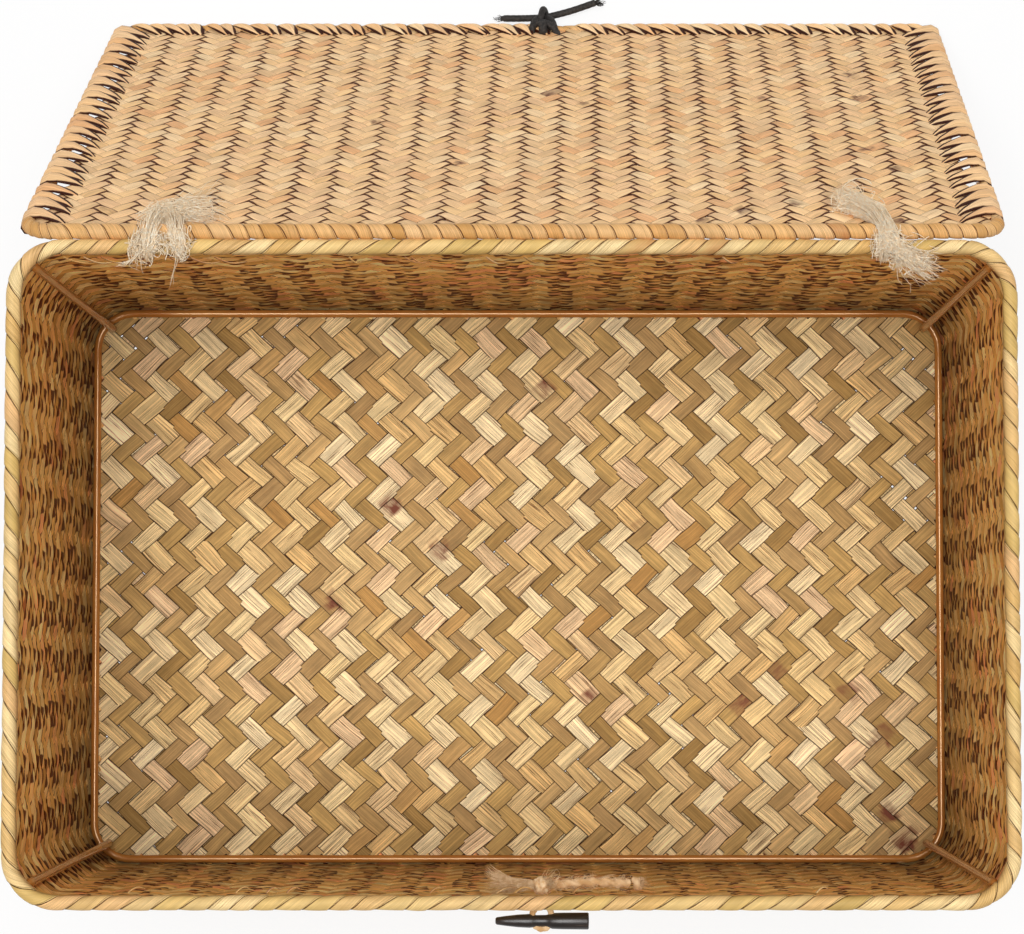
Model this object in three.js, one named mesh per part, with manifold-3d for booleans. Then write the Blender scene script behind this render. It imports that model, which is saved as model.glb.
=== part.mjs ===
// Plaited picnic basket with a hinged lid, in millimetres, +Z up.
// The origin is the centre of the underside, +Y points to the hinge and +X to the right.
// It rests as it stands open: the lid hangs behind the basket with its free edge on the ground.

import * as THREE from "three";
import { mergeVertices } from "three/addons/utils/BufferGeometryUtils.js";
import Module from "manifold-3d";

const wasm = await Module();
wasm.setup();

// Driving dimensions of the basket
const rimLength = 400;
const rimWidth = 264;
const rimCorner = 22;
const basketHeight = 229;
const baseSpread = 8.2;
const baseBulge = 2.6;
const baseCorner = 21;
const plait = 2;
const rod = 3.6;
const rimSkin = 0.8;
const rimDrop = 2;

// Driving dimensions of the lid
const lidShorter = 0.6;
const lidNarrower = 2.8;
const lidCorner = 13;
const lidPlait = 2;
const lidRod = 2;
const lidBore = 4.6;
const lidSkin = 0.8;
const lidSag = 7;
const hingeGap = 0.45;

// Driving dimensions of the twine, the toggle and the closure cord
const jute = 2.4;
const tieTurns = 2;
const tiePitch = 3;
const leftTieShare = -0.345;
const rightTieShare = 0.365;
const frayedTail = 22;
const tailSpread = 16;
const hangingTail = 14;
const closureShare = 0.03;
const toggleLength = 37.4;
const toggleRadius = 3.4;
const toggleTip = 1.4;
const toggleDrop = 16;
const toggleStitch = 7.2;
const cord = 3.2;
const cordHoles = 11;
const cordKnot = 7;
const shortTail = 21;
const longTail = 27;
const loopWidth = 13.6;
const loopBelowToggle = 6.9;
const clearance = 0.3;
const restGap = 0.1;

// Facets
const cornerSteps = 7;
const rodSides = 10;
const bindingSteps = 12;
const twineSides = 8;
const windingSides = 6;
const windingSteps = 24;

// Sizes that follow the rim's
const baseLength = rimLength + baseSpread;
const baseWidth = rimWidth + baseBulge;
const lidLength = rimLength - lidShorter;
const lidWidth = rimWidth - lidNarrower;
const leftTieX = leftTieShare * rimLength;
const rightTieX = rightTieShare * rimLength;
const closureX = closureShare * rimLength;

// The rim's section is upright and oval: the top rod lies on the plait's edge in one bore.
const rimBoreRadius = rod / 2 + clearance;
const rimRadius = rimBoreRadius + rimSkin;
const rimZ = basketHeight - rimRadius;
const rimHalfX = rimLength / 2 - rimRadius;
const rimHalfY = rimWidth / 2 - rimRadius;
const rimBend = rimCorner - rimRadius;
const rimUnderside = rimZ - rimDrop - rimRadius;

// The lid's section: the lid's rod lies outside the plait's edge.
const lidRadius = lidBore / 2 + lidSkin;
const lidRodOffset = lidBore / 2 - clearance - lidRod / 2;
const lidPlaitOffset = lidRodOffset - lidRod / 2 - clearance;
const lidHalfX = lidLength / 2 - lidRadius;
const lidHalfY = lidWidth / 2 - lidRadius;
const lidBend = lidCorner - lidRadius;

// The basket's fold between floor and wall is concentric with the bottom rod.
const fold = plait + clearance + rod / 2;
const ringZ = fold;

const colours = {
  plaitInside: 0xb98f52,
  binding: 0xe3c583,
  lidPlait: 0xdcb27c,
  lidBinding: 0xdfb273,
  rod: 0x9a5a2c,
  jute: 0xd3b48a,
  cord: 0x2b2624,
  horn: 0x2a2320,
};

function paint(colour, roughness, metalness = 0) {
  return new THREE.MeshStandardMaterial({ color: colour, roughness, metalness });
}

const materials = {
  basketPlait: paint(colours.plaitInside, 0.75),
  rimBinding: paint(colours.binding, 0.6),
  lidPlait: paint(colours.lidPlait, 0.7),
  lidBinding: paint(colours.lidBinding, 0.6),
  rod: paint(colours.rod, 0.3),
  jute: paint(colours.jute, 0.95),
  cord: paint(colours.cord, 0.8),
  horn: paint(colours.horn, 0.35),
};

function mesh(name, geometry, material) {
  const part = new THREE.Mesh(geometry, material);
  part.name = name;
  return part;
}

function radians(degrees) {
  return (degrees * Math.PI) / 180;
}

// Welds a geometry's vertices and drops everything but their positions.
function welded(geometry) {
  const bare = geometry.clone();
  bare.deleteAttribute("normal");
  if (bare.attributes.uv) {
    bare.deleteAttribute("uv");
  }
  return mergeVertices(bare, 1e-4);
}

function toSolid(geometry) {
  const closed = welded(geometry);
  return new wasm.Manifold(
    new wasm.Mesh({
      numProp: 3,
      vertProperties: new Float32Array(closed.attributes.position.array),
      triVerts: new Uint32Array(closed.index.array),
    }),
  );
}

function toGeometry(solid) {
  const cut = solid.getMesh();
  const geometry = new THREE.BufferGeometry();
  geometry.setAttribute("position", new THREE.BufferAttribute(cut.vertProperties, 3));
  geometry.setIndex(new THREE.BufferAttribute(cut.triVerts, 1));
  geometry.computeVertexNormals();
  return geometry;
}

function cutAway(geometry, cutters) {
  let solid = toSolid(geometry);
  for (const cutter of cutters) {
    solid = solid.subtract(toSolid(cutter));
  }
  return toGeometry(solid);
}

function joined(pieces) {
  let solid = toSolid(pieces[0]);
  for (const piece of pieces.slice(1)) {
    solid = solid.add(toSolid(piece));
  }
  return toGeometry(solid);
}

// A rounded rectangle about the Z axis, anticlockwise, with the same number of points for any size.
function roundedLoop(halfX, halfY, bend, z) {
  const points = [];
  for (let corner = 0; corner < 4; corner += 1) {
    const sideX = corner === 0 || corner === 3 ? 1 : -1;
    const sideY = corner < 2 ? 1 : -1;
    for (let step = 0; step <= cornerSteps; step += 1) {
      const angle = (Math.PI / 2) * (corner + step / cornerSteps);
      points.push([
        sideX * (halfX - bend) + bend * Math.cos(angle),
        sideY * (halfY - bend) + bend * Math.sin(angle),
        z,
      ]);
    }
  }
  return points;
}

// Skins a stack of loops. The stack is capped at its two ends, or joined end to start as a ring.
function loft(loops, ring) {
  const count = loops[0].length;
  const positions = loops.flat(2);
  const index = [];
  const bands = ring ? loops.length : loops.length - 1;
  for (let level = 0; level < bands; level += 1) {
    const low = level * count;
    const high = ((level + 1) % loops.length) * count;
    for (let point = 0; point < count; point += 1) {
      const next = (point + 1) % count;
      index.push(low + point, low + next, high + next);
      index.push(low + point, high + next, high + point);
    }
  }
  if (!ring) {
    const top = (loops.length - 1) * count;
    for (let point = 1; point < count - 1; point += 1) {
      index.push(0, point + 1, point);
      index.push(top, top + point, top + point + 1);
    }
  }
  const geometry = new THREE.BufferGeometry();
  geometry.setAttribute("position", new THREE.Float32BufferAttribute(positions, 3));
  geometry.setIndex(index);
  geometry.computeVertexNormals();
  return geometry;
}

// Sweeps a section round a rounded rectangle. Its points are [outward, up] from the centreline.
function sweepRound(section, halfX, halfY, bend, z) {
  const loops = section.map(([out, up]) => roundedLoop(halfX + out, halfY + out, bend + out, z + up));
  return loft(loops, true);
}

function circleSection(offset, radius, sides) {
  const section = [];
  for (let side = 0; side < sides; side += 1) {
    const angle = (2 * Math.PI * side) / sides;
    section.push([offset + radius * Math.cos(angle), radius * Math.sin(angle)]);
  }
  return section;
}

function arc(radius, from, to, steps) {
  const points = [];
  for (let step = 0; step <= steps; step += 1) {
    const angle = from + ((to - from) * step) / steps;
    points.push([radius * Math.cos(angle), radius * Math.sin(angle)]);
  }
  return points;
}

// The rim's binding is open below, between two lips that let the plait's edge in.
function rimBindingSection() {
  const lip = plait / 2 + clearance;
  const half = (radius, side) => {
    const below = arc(radius, -Math.acos(lip / radius), 0, bindingSteps / 2);
    const above = arc(radius, 0, Math.PI / 2, bindingSteps / 2);
    return [...below.map(([out, up]) => [side * out, up - rimDrop]), ...above.map(([out, up]) => [side * out, up])];
  };
  const outside = [...half(rimRadius, 1), ...half(rimRadius, -1).reverse().slice(1)];
  const inside = [...half(rimBoreRadius, 1), ...half(rimBoreRadius, -1).reverse().slice(1)].reverse();
  return [...outside, ...inside];
}

// The lid's binding is open to the inside, where the lid's plait enters.
function lidBindingSection() {
  const lip = lidPlait / 2 + clearance;
  const outside = arc(
    lidRadius,
    Math.asin(lip / lidRadius) - Math.PI,
    Math.PI - Math.asin(lip / lidRadius),
    bindingSteps,
  );
  const inside = arc(
    lidBore / 2,
    Math.PI - Math.asin(lip / (lidBore / 2)),
    Math.asin(lip / (lidBore / 2)) - Math.PI,
    bindingSteps,
  );
  return [...outside, ...inside];
}

// Sweeps a round section along a smooth curve through points, with flat ends.
function tube(points, radius, sides, steps) {
  const curve = new THREE.CatmullRomCurve3(points, false, "centripetal");
  const section = circleSection(0, radius, sides).map(([x, y]) => new THREE.Vector2(x, y));
  return new THREE.ExtrudeGeometry(new THREE.Shape(section), {
    steps,
    extrudePath: curve,
    bevelEnabled: false,
  });
}

function block(sizeX, sizeY, sizeZ, x, y, z) {
  return new THREE.BoxGeometry(sizeX, sizeY, sizeZ).translate(x, y, z);
}

function pinAlongY(radius, length, x, y, z) {
  return new THREE.CylinderGeometry(radius, radius, length, 16).translate(x, y, z);
}

function pinAlongZ(radius, length, x, y, z) {
  return new THREE.CylinderGeometry(radius, radius, length, 16).rotateX(Math.PI / 2).translate(x, y, z);
}

function ball(radiusX, radiusY, radiusZ, x, y, z) {
  return new THREE.SphereGeometry(1, 14, 10).scale(radiusX, radiusY, radiusZ).translate(x, y, z);
}

// Half size of the basket's outer face at a height, where the wall leans from base to rim.
function wallHalf(z) {
  const share = (z - fold) / (rimZ - fold);
  const topOffset = plait / 2;
  return {
    x: baseLength / 2 + (rimHalfX + topOffset - baseLength / 2) * share,
    y: baseWidth / 2 + (rimHalfY + topOffset - baseWidth / 2) * share,
    bend: baseCorner + (rimBend + topOffset - baseCorner) * share,
  };
}

function wallLoop(z, inset) {
  const half = wallHalf(z);
  return roundedLoop(half.x - inset, half.y - inset, half.bend - inset, z);
}

function foldLoops(radius, steps) {
  const loops = [];
  for (let step = 0; step <= steps; step += 1) {
    const angle = (Math.PI / 2) * (step / steps);
    const inset = fold - radius * Math.sin(angle);
    const z = fold - radius * Math.cos(angle);
    loops.push(roundedLoop(baseLength / 2 - inset, baseWidth / 2 - inset, baseCorner - inset, z));
  }
  return loops;
}

// A point on the middle of a rounded rectangle's corner, counted from the centre.
function cornerPoint(halfX, halfY, bend, inset) {
  const reach = (bend - inset) * Math.SQRT1_2;
  return [halfX - bend + reach, halfY - bend + reach];
}

// The lid in its own frame lies flat on the rim, with the hinge axis as its origin. Its front edge
// carries the knotted closure cord, whose knot lies on the ground when the lid hangs open.
const cordRing = lidRadius + clearance + cord / 2;
const holeInset = lidRadius + 2 * clearance + cord / 2;
const knotRadius = cordKnot / 2;
const shutGap = rimRadius + lidRadius + clearance;
const propGap = rimRadius + lidRadius + cord + 3 * clearance;
const knotFromLid = lidRadius + clearance + knotRadius;
const knotFromRim = rimRadius + clearance + knotRadius;
const lidInside = rimHalfY - lidHalfY;
const frontGap = Math.hypot(lidInside, propGap);
const knotAlong = (frontGap ** 2 + knotFromLid ** 2 - knotFromRim ** 2) / (2 * frontGap);
const knotAside = Math.sqrt(knotFromLid ** 2 - knotAlong ** 2);
const knotBeyond = (knotAlong * lidInside + knotAside * propGap) / frontGap;
const knotDrop = (knotAlong * propGap - knotAside * lidInside) / frontGap;
const edgeSpan = 2 * lidHalfY;
const shutLift = Math.asin((propGap - shutGap) / edgeSpan);

// The rear edge hangs just behind the rim when open, a little lower than it.
const hungReach = rimRadius + lidRadius + hingeGap;
const openY = hungReach * Math.cos(radians(lidSag));
const openZ = -hungReach * Math.sin(radians(lidSag));
const knotReach = Math.hypot(edgeSpan + knotBeyond, knotDrop);
const knotLead = Math.atan2(knotDrop, edgeSpan + knotBeyond);
const slope = Math.asin((rimZ + openZ - knotRadius - restGap) / knotReach) + knotLead;
const openAngle = Math.PI + slope;

// The axis is the one point that turns the flat lid's rear edge into the hanging one.
const halfTurn = Math.tan((2 * Math.PI - openAngle) / 2);
const axisY = (openY - lidInside) / 2 - (openZ - shutGap) / (2 * halfTurn);
const axisZ = (shutGap + openZ) / 2 + (openY + lidInside) / (2 * halfTurn);
const hingeY = rimHalfY + axisY;
const hingeZ = rimZ + axisZ;
const lidBackY = -lidInside - axisY;
const lidZ = shutGap - axisZ;
const lidFrontY = lidBackY - edgeSpan;

// A point by its distance beyond the lid's front edge and its depth on the lid's inner side.
function atFrontEdge(x, beyond, inside) {
  return new THREE.Vector3(x, lidFrontY - beyond, lidZ - inside);
}

// The toggle hangs in front of the wall with room behind it for the closure loop.
const toggleZ = rimZ - toggleDrop;
const wallAtToggle = wallHalf(toggleZ).y;
const loopPlane = wallHalf(toggleZ - loopBelowToggle - cord).y + clearance + cord / 2;
const toggleY = loopPlane + cord / 2 + clearance + toggleRadius;
const strandApart = jute / 2 + clearance;
const shankHole = strandApart + jute / 2 + clearance;

// The hinge ties run round both bindings at this distance from each binding's centre.
const beltRim = rimRadius + clearance + jute / 2;
const beltLid = lidRadius + clearance + jute / 2;
const beltUnderside = rimZ - rimDrop - beltRim;
const tieSlot = tieTurns * tiePitch + jute + 2 * clearance;
const slotHeight = jute + 2 * clearance;

function buildBasketPlait() {
  const top = rimZ - rod / 2 - clearance;
  const loops = [
    ...foldLoops(fold, 4),
    wallLoop(top, 0),
    wallLoop(top, plait),
    ...foldLoops(fold - plait, 4).reverse(),
  ];
  const cutters = [pinAlongY(shankHole, 4 * plait, closureX, -wallAtToggle, toggleZ)];
  for (const x of [leftTieX, rightTieX]) {
    cutters.push(block(tieSlot, 4 * plait, slotHeight, x, rimHalfY, beltUnderside));
  }
  return mesh("basket_plait", cutAway(loft(loops, false), cutters), materials.basketPlait);
}

function buildRing(name, offset, radius, half, z) {
  const section = circleSection(offset, radius, rodSides);
  return mesh(name, sweepRound(section, half.x, half.y, half.bend, z), materials.rod);
}

const ringHalf = { x: baseLength / 2 - fold, y: baseWidth / 2 - fold, bend: baseCorner - fold };
const rimHalf = { x: rimHalfX, y: rimHalfY, bend: rimBend };

// The corner posts stand inside the bottom ring and end under the rim, along the wall's inner face.
const postInset = plait / 2 + clearance + rod / 2;
const postFoot = cornerPoint(ringHalf.x, ringHalf.y, ringHalf.bend, rod + clearance);
const postHead = cornerPoint(rimHalfX, rimHalfY, rimBend, postInset);
const postCorners = {
  front_left: [-1, -1],
  front_right: [1, -1],
  back_left: [-1, 1],
  back_right: [1, 1],
};

function buildPost(corner) {
  const [sideX, sideY] = postCorners[corner];
  const foot = new THREE.Vector3(sideX * postFoot[0], sideY * postFoot[1], plait + clearance);
  const head = new THREE.Vector3(sideX * postHead[0], sideY * postHead[1], rimUnderside - clearance);
  const along = head.clone().sub(foot);
  const length = along.length();
  const post = mesh(
    `corner_post_${corner}`,
    new THREE.CylinderGeometry(rod / 2, rod / 2, length, rodSides),
    materials.rod,
  );
  post.position.copy(foot).add(head).multiplyScalar(0.5);
  post.quaternion.setFromUnitVectors(new THREE.Vector3(0, 1, 0), along.normalize());
  return post;
}

function buildRimBinding() {
  const shell = sweepRound(rimBindingSection(), rimHalfX, rimHalfY, rimBend, rimZ);
  return mesh("rim_binding", shell, materials.rimBinding);
}

function buildLidPlait() {
  const half = [lidHalfX + lidPlaitOffset, lidHalfY + lidPlaitOffset, lidBend + lidPlaitOffset];
  const slab = loft([roundedLoop(...half, -lidPlait / 2), roundedLoop(...half, lidPlait / 2)], false);
  slab.translate(0, lidBackY - lidHalfY, lidZ);
  const cutters = [-1, 1].map((side) =>
    pinAlongZ(
      cord / 2 + clearance,
      4 * lidPlait,
      closureX + (side * cordHoles) / 2,
      lidFrontY + holeInset,
      lidZ,
    ),
  );
  for (const x of [leftTieX, rightTieX]) {
    cutters.push(block(tieSlot, slotHeight, 4 * lidPlait, x, lidBackY - beltLid, lidZ));
  }
  return mesh("lid_plait", cutAway(slab, cutters), materials.lidPlait);
}

function buildLidRing() {
  const ring = buildRing("lid_ring", lidRodOffset, lidRod / 2, { x: lidHalfX, y: lidHalfY, bend: lidBend }, lidZ);
  ring.geometry.translate(0, lidBackY - lidHalfY, 0);
  return ring;
}

function buildLidBinding() {
  const shell = sweepRound(lidBindingSection(), lidHalfX, lidHalfY, lidBend, lidZ);
  shell.translate(0, lidBackY - lidHalfY, 0);
  return mesh("lid_binding", shell, materials.lidBinding);
}

// The belt that goes once round both bindings, clockwise seen from the right. It is drawn tight
// round three circles: the rim's top, the lid's rear edge and the rim's underside.
const beltCircles = [
  { y: 0, z: 0, radius: beltRim },
  { y: openY, z: openZ, radius: beltLid },
  { y: 0, z: -rimDrop, radius: beltRim },
];

function beltNormal(from, to) {
  const reach = Math.hypot(to.y - from.y, to.z - from.z);
  return Math.atan2(to.z - from.z, to.y - from.y) + Math.acos((from.radius - to.radius) / reach);
}

function onCircle(circle, angle) {
  return [circle.y + circle.radius * Math.cos(angle), circle.z + circle.radius * Math.sin(angle)];
}

// Lengths of belt with a function from the distance along each to its point.
function beltStretches() {
  const stretches = [];
  let angle = Math.PI / 2;
  for (let place = 0; place < beltCircles.length; place += 1) {
    const circle = beltCircles[place];
    const next = beltCircles[(place + 1) % beltCircles.length];
    const from = angle;
    let to = beltNormal(circle, next);
    while (to > from) {
      to -= 2 * Math.PI;
    }
    stretches.push({ length: circle.radius * (from - to), at: (run) => onCircle(circle, from - run / circle.radius) });
    const start = onCircle(circle, to);
    const end = onCircle(next, to);
    const length = Math.hypot(end[0] - start[0], end[1] - start[1]);
    stretches.push({
      length,
      at: (run) => start.map((value, axis) => value + ((end[axis] - value) * run) / length),
    });
    angle = to;
  }
  const last = angle;
  const top = beltCircles[0];
  stretches.push({
    length: top.radius * (last + 1.5 * Math.PI),
    at: (run) => onCircle(top, last - run / top.radius),
  });
  return stretches;
}

const belt = beltStretches();
const beltLength = belt.reduce((sum, stretch) => sum + stretch.length, 0);

function beltPoint(distance) {
  let rest = distance % beltLength;
  for (const stretch of belt) {
    if (rest < stretch.length) {
      return stretch.at(rest);
    }
    rest -= stretch.length;
  }
  return belt[0].at(0);
}

// The least gap between turns of a tube, measured on points along its middle.
function leastGap(points, diameter, apart) {
  const curve = new THREE.CatmullRomCurve3(points, false, "centripetal");
  const samples = curve.getSpacedPoints(240);
  const spacing = curve.getLength() / 240;
  const skip = Math.ceil(apart / spacing);
  let least = Infinity;
  for (let first = 0; first < samples.length; first += 1) {
    for (let second = first + skip; second < samples.length; second += 1) {
      least = Math.min(least, samples[first].distanceTo(samples[second]));
    }
  }
  return least - diameter;
}

// A lashing of twine. One end hangs down inside the basket, the twine winds round both bindings
// through the slots in the plaits, and its other end lies along the lid's inner face.
function buildHingeTie(name, x, side) {
  const upper = beltNormal(beltCircles[0], beltCircles[1]);
  const leave = belt[0].length + belt[1].length + beltLid * (upper - (Math.PI / 2 - slope));
  const wound = tieTurns * beltLength + leave;
  const steps = tieTurns * windingSteps + Math.round((windingSteps * leave) / beltLength);
  const startX = x - (side * tiePitch * tieTurns) / 2;
  const points = [];
  for (const share of [1, 0.6, 0.2]) {
    points.push(
      new THREE.Vector3(startX - side * jute, rimHalfY - beltRim, rimZ - hangingTail * share),
    );
  }
  for (const share of [1, 0.66, 0.33]) {
    const [y, z] = onCircle(beltCircles[0], (Math.PI / 2) * (1 + share));
    points.push(new THREE.Vector3(startX - side * jute * share, rimHalfY + y, rimZ + z));
  }
  for (let step = 0; step <= steps; step += 1) {
    const distance = (wound * step) / steps;
    const [y, z] = beltPoint(distance);
    points.push(new THREE.Vector3(startX + (side * tiePitch * distance) / beltLength, rimHalfY + y, rimZ + z));
  }
  const end = points[points.length - 1];
  for (const share of [0.3, 0.65, 1]) {
    const run = frayedTail * share;
    points.push(
      new THREE.Vector3(
        end.x + side * tailSpread * share,
        end.y + run * Math.cos(slope) + jute * share,
        end.z - run * Math.sin(slope) + jute * share,
      ),
    );
  }
  console.log(`${name}: least gap between turns ${leastGap(points, jute, beltLength / 3).toFixed(2)} mm`);
  return mesh(name, tube(points, jute / 2, windingSides, steps + 12), materials.jute);
}

// The twine through the toggle: out of the wall's hole, through one hole of the toggle, across its
// front and back through the other.
function stitchPath() {
  const half = toggleStitch / 2;
  const bendY = toggleY + toggleRadius - jute / 2 + 0.9 - half;
  const points = [];
  const entry = [
    [strandApart, wallAtToggle - plait - clearance],
    [strandApart, wallAtToggle + clearance],
    [half, toggleY - toggleRadius],
  ];
  for (const [x, y] of entry) {
    points.push(new THREE.Vector3(closureX - x, -y, toggleZ));
  }
  for (let step = 0; step <= 12; step += 1) {
    const angle = (Math.PI * step) / 12;
    points.push(
      new THREE.Vector3(closureX - half * Math.cos(angle), -bendY - half * Math.sin(angle), toggleZ),
    );
  }
  for (const [x, y] of entry.reverse()) {
    points.push(new THREE.Vector3(closureX + x, -y, toggleZ));
  }
  return points;
}

function buildToggle() {
  const half = toggleLength / 2;
  const profile = [
    [0, -half],
    [toggleTip - 0.4, -half],
    [toggleTip, -half + 0.5],
    [toggleRadius * 0.66, -half * 0.62],
    [toggleRadius * 0.86, -half * 0.32],
    [toggleRadius * 0.97, -half * 0.05],
    [toggleRadius, half * 0.2],
    [toggleRadius, half - 0.6],
    [toggleRadius - 0.6, half],
    [0, half],
  ].map(([radius, along]) => new THREE.Vector2(radius, along));
  const body = new THREE.LatheGeometry(profile, 20).rotateZ(-Math.PI / 2).translate(closureX, -toggleY, toggleZ);
  const channel = tube(stitchPath(), jute / 2 + clearance, twineSides, 40);
  return mesh("toggle", cutAway(body, [channel]), materials.horn);
}

function buildToggleTwine() {
  return mesh("toggle_twine", tube(stitchPath(), jute / 2, twineSides, 40), materials.jute);
}

// The twine's knot inside the front wall has one frayed end and one twisted tail with an end knot.
const wallInsideY = wallAtToggle - plait;
const twineKnot = { x: 4.4, y: 3.9, z: 3.6 };
const twineKnotY = wallInsideY - 2 * clearance - twineKnot.y;

function buildTwineKnot() {
  const knot = ball(twineKnot.x, twineKnot.y, twineKnot.z, closureX, -twineKnotY, toggleZ);
  const frayed = new THREE.CylinderGeometry(2.6, 1.5, 18, 10)
    .rotateZ(Math.PI / 2)
    .translate(closureX - 11, 1 - twineKnotY, toggleZ + 0.8);
  return mesh("toggle_knot", joined([knot, frayed]), materials.jute);
}

const twineTailRoute = [
  [4.4 + clearance, 0.6, 0.3],
  [9, 0.9, 0.5],
  [16, 1.4, 0],
  [23, 1.5, -1.2],
  [30, 0.9, -2.8],
  [35, 0.5, -3.8],
];

function buildTwineTail() {
  const points = twineTailRoute.map(
    ([x, y, z]) => new THREE.Vector3(closureX + x, y - twineKnotY, toggleZ + z),
  );
  return mesh("toggle_knot_tail", tube(points, 1.6, twineSides, 12), materials.jute);
}

function buildTailEnd() {
  const [x, y, z] = twineTailRoute[twineTailRoute.length - 1];
  const knot = ball(2.8, 2.5, 2.5, closureX + x + 2.8 + clearance, y - twineKnotY, toggleZ + z - 0.4);
  return mesh("toggle_knot_end", knot, materials.jute);
}

// The closure cord on the lid: two strands through the lid's plait, over the binding's inner side
// to one knot beyond the edge, with the cord's two cut ends.
function buildClosureKnot() {
  const stub = cordRing - cord / 2 - clearance;
  const strands = [-1, 1].map((side) => {
    const half = cordHoles / 2;
    const route = [
      [half, -holeInset, -stub],
      [half, -holeInset, 0],
      [half, -holeInset, cord / 2],
      [half - 0.4, -0.85 * holeInset, cordRing - 1.7],
      [half - 1.3, -0.4 * holeInset, cordRing - 0.2],
      [half - 2.6, 0.2 * holeInset, cordRing + 0.1],
      [0.8, knotBeyond, knotDrop],
    ];
    const points = route.map(([x, beyond, inside]) => atFrontEdge(closureX + side * x, beyond, inside));
    return tube(points, cord / 2, twineSides, 18);
  });
  const centre = atFrontEdge(closureX, knotBeyond, knotDrop);
  const knot = ball(knotRadius * 0.9, knotRadius, knotRadius, centre.x, centre.y, centre.z);
  const short = tube(
    [
      centre,
      atFrontEdge(closureX - shortTail * 0.5, knotBeyond + 0.2, knotDrop - 0.3),
      atFrontEdge(closureX - shortTail, knotBeyond, knotDrop - 0.5),
    ],
    cord / 2,
    twineSides,
    6,
  );
  const long = tube(
    [
      centre,
      atFrontEdge(closureX + longTail * 0.5, knotBeyond + 1.6, knotDrop + 2.8),
      atFrontEdge(closureX + longTail, knotBeyond + 4, knotDrop + 7),
    ],
    cord / 2,
    twineSides,
    6,
  );
  return mesh("closure_knot", joined([knot, ...strands, short, long]), materials.cord);
}

// The loop is drawn as it hangs when it holds the toggle, from its fold above the lid's edge over the
// edge, down the rim and behind the toggle. Its points are [outward from the fold, down from it].
const foldUp = cordRing;
const foldBack = holeInset;
const rimFront = lidInside + rimRadius + 1.5 * clearance + cord / 2;
const loopOut = foldBack + Math.max(knotBeyond + cord + 5 * clearance, rimFront);
const loopPassRim = propGap + foldUp;
const loopAtToggle = loopPassRim + toggleDrop;
const loopIn = loopPlane - lidHalfY + foldBack;
const loopLowest = loopAtToggle + loopBelowToggle;
const halfLoop = loopWidth / 2;

function loopPath() {
  const half = cordHoles / 2;
  const leg = [
    [half, 0, 0],
    [half, 3, 0],
    [half, loopOut - 4, 0],
    [half, loopOut - 1, 1],
    [half, loopOut, 4.5],
    [half + 0.2, loopOut, loopPassRim - 5],
    [half + 0.5, (loopOut + foldBack + rimFront) / 2, loopPassRim],
    [half + 0.8, foldBack + rimFront, loopPassRim + rimDrop + rimRadius],
    [halfLoop, loopIn + 0.2, loopAtToggle - 5],
    [halfLoop, loopIn, loopLowest - halfLoop],
  ];
  const bend = [];
  for (let step = 1; step < 8; step += 1) {
    const angle = (Math.PI * step) / 8;
    bend.push([halfLoop * Math.cos(angle), loopIn, loopLowest - halfLoop + halfLoop * Math.sin(angle)]);
  }
  const back = leg.map(([x, out, down]) => [-x, out, down]).reverse();
  return [...leg, ...bend, ...back].map(([x, out, down]) => new THREE.Vector3(closureX + x, -out, -down));
}

// Turns the loop from where it holds the toggle back to where its end lies on the ground.
const foldY = lidFrontY + foldBack;
const foldZ = lidZ + foldUp;
const openFoldZ = hingeZ + foldY * Math.sin(-openAngle) + foldZ * Math.cos(openAngle);
const loopRadius = Math.hypot(loopIn, loopLowest);
const loopAngle = Math.PI + Math.atan2(loopLowest, loopIn);
const restAngle = Math.PI + Math.asin((openFoldZ - cord / 2 - restGap) / loopRadius);
const loopTurn = loopAngle - openAngle - restAngle + 2 * Math.PI;

function buildLoop() {
  const points = loopPath();
  console.log(`closure_loop: cord length ${new THREE.CatmullRomCurve3(points, false, "centripetal").getLength().toFixed(1)} mm`);
  const group = new THREE.Group();
  group.position.set(0, foldY, foldZ);
  group.rotation.x = -loopTurn;
  group.add(mesh("closure_loop", tube(points, cord / 2, twineSides, 56), materials.cord));
  return group;
}

const basket = new THREE.Group();
basket.add(buildBasketPlait());
basket.add(buildRing("base_ring", 0, rod / 2, ringHalf, ringZ));
basket.add(buildRing("rim_ring", 0, rod / 2, rimHalf, rimZ));
for (const corner of Object.keys(postCorners)) {
  basket.add(buildPost(corner));
}
basket.add(buildRimBinding());
basket.add(buildHingeTie("hinge_tie_left", leftTieX, 1));
basket.add(buildHingeTie("hinge_tie_right", rightTieX, -1));
basket.add(buildToggle());
basket.add(buildToggleTwine());
basket.add(buildTwineKnot());
basket.add(buildTwineTail());
basket.add(buildTailEnd());

const lid = new THREE.Group();
lid.position.set(0, hingeY, hingeZ);
lid.rotation.x = -openAngle;
lid.add(buildLidPlait());
lid.add(buildLidRing());
lid.add(buildLidBinding());
lid.add(buildClosureKnot());
lid.add(buildLoop());
basket.add(lid);

// The joints' places and ranges, in the basket's frame.
const pivotY = hingeY + foldY * Math.cos(openAngle) + foldZ * Math.sin(openAngle);
const lidRange = (180 / Math.PI) * (openAngle - shutLift);
console.log(`lid hinge: y ${hingeY.toFixed(3)} z ${hingeZ.toFixed(3)} range 0 to ${lidRange.toFixed(2)} degrees`);
console.log(`loop fold: y ${pivotY.toFixed(3)} z ${openFoldZ.toFixed(3)}`);
console.log(`loop range 0 to ${((180 / Math.PI) * (loopTurn + shutLift)).toFixed(2)} degrees`);
console.log(`toggle axis: x ${closureX} y ${(-toggleY).toFixed(3)} z ${toggleZ.toFixed(3)}`);

export default basket;
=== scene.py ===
import math
import random

import bmesh
import bpy
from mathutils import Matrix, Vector, noise


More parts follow.
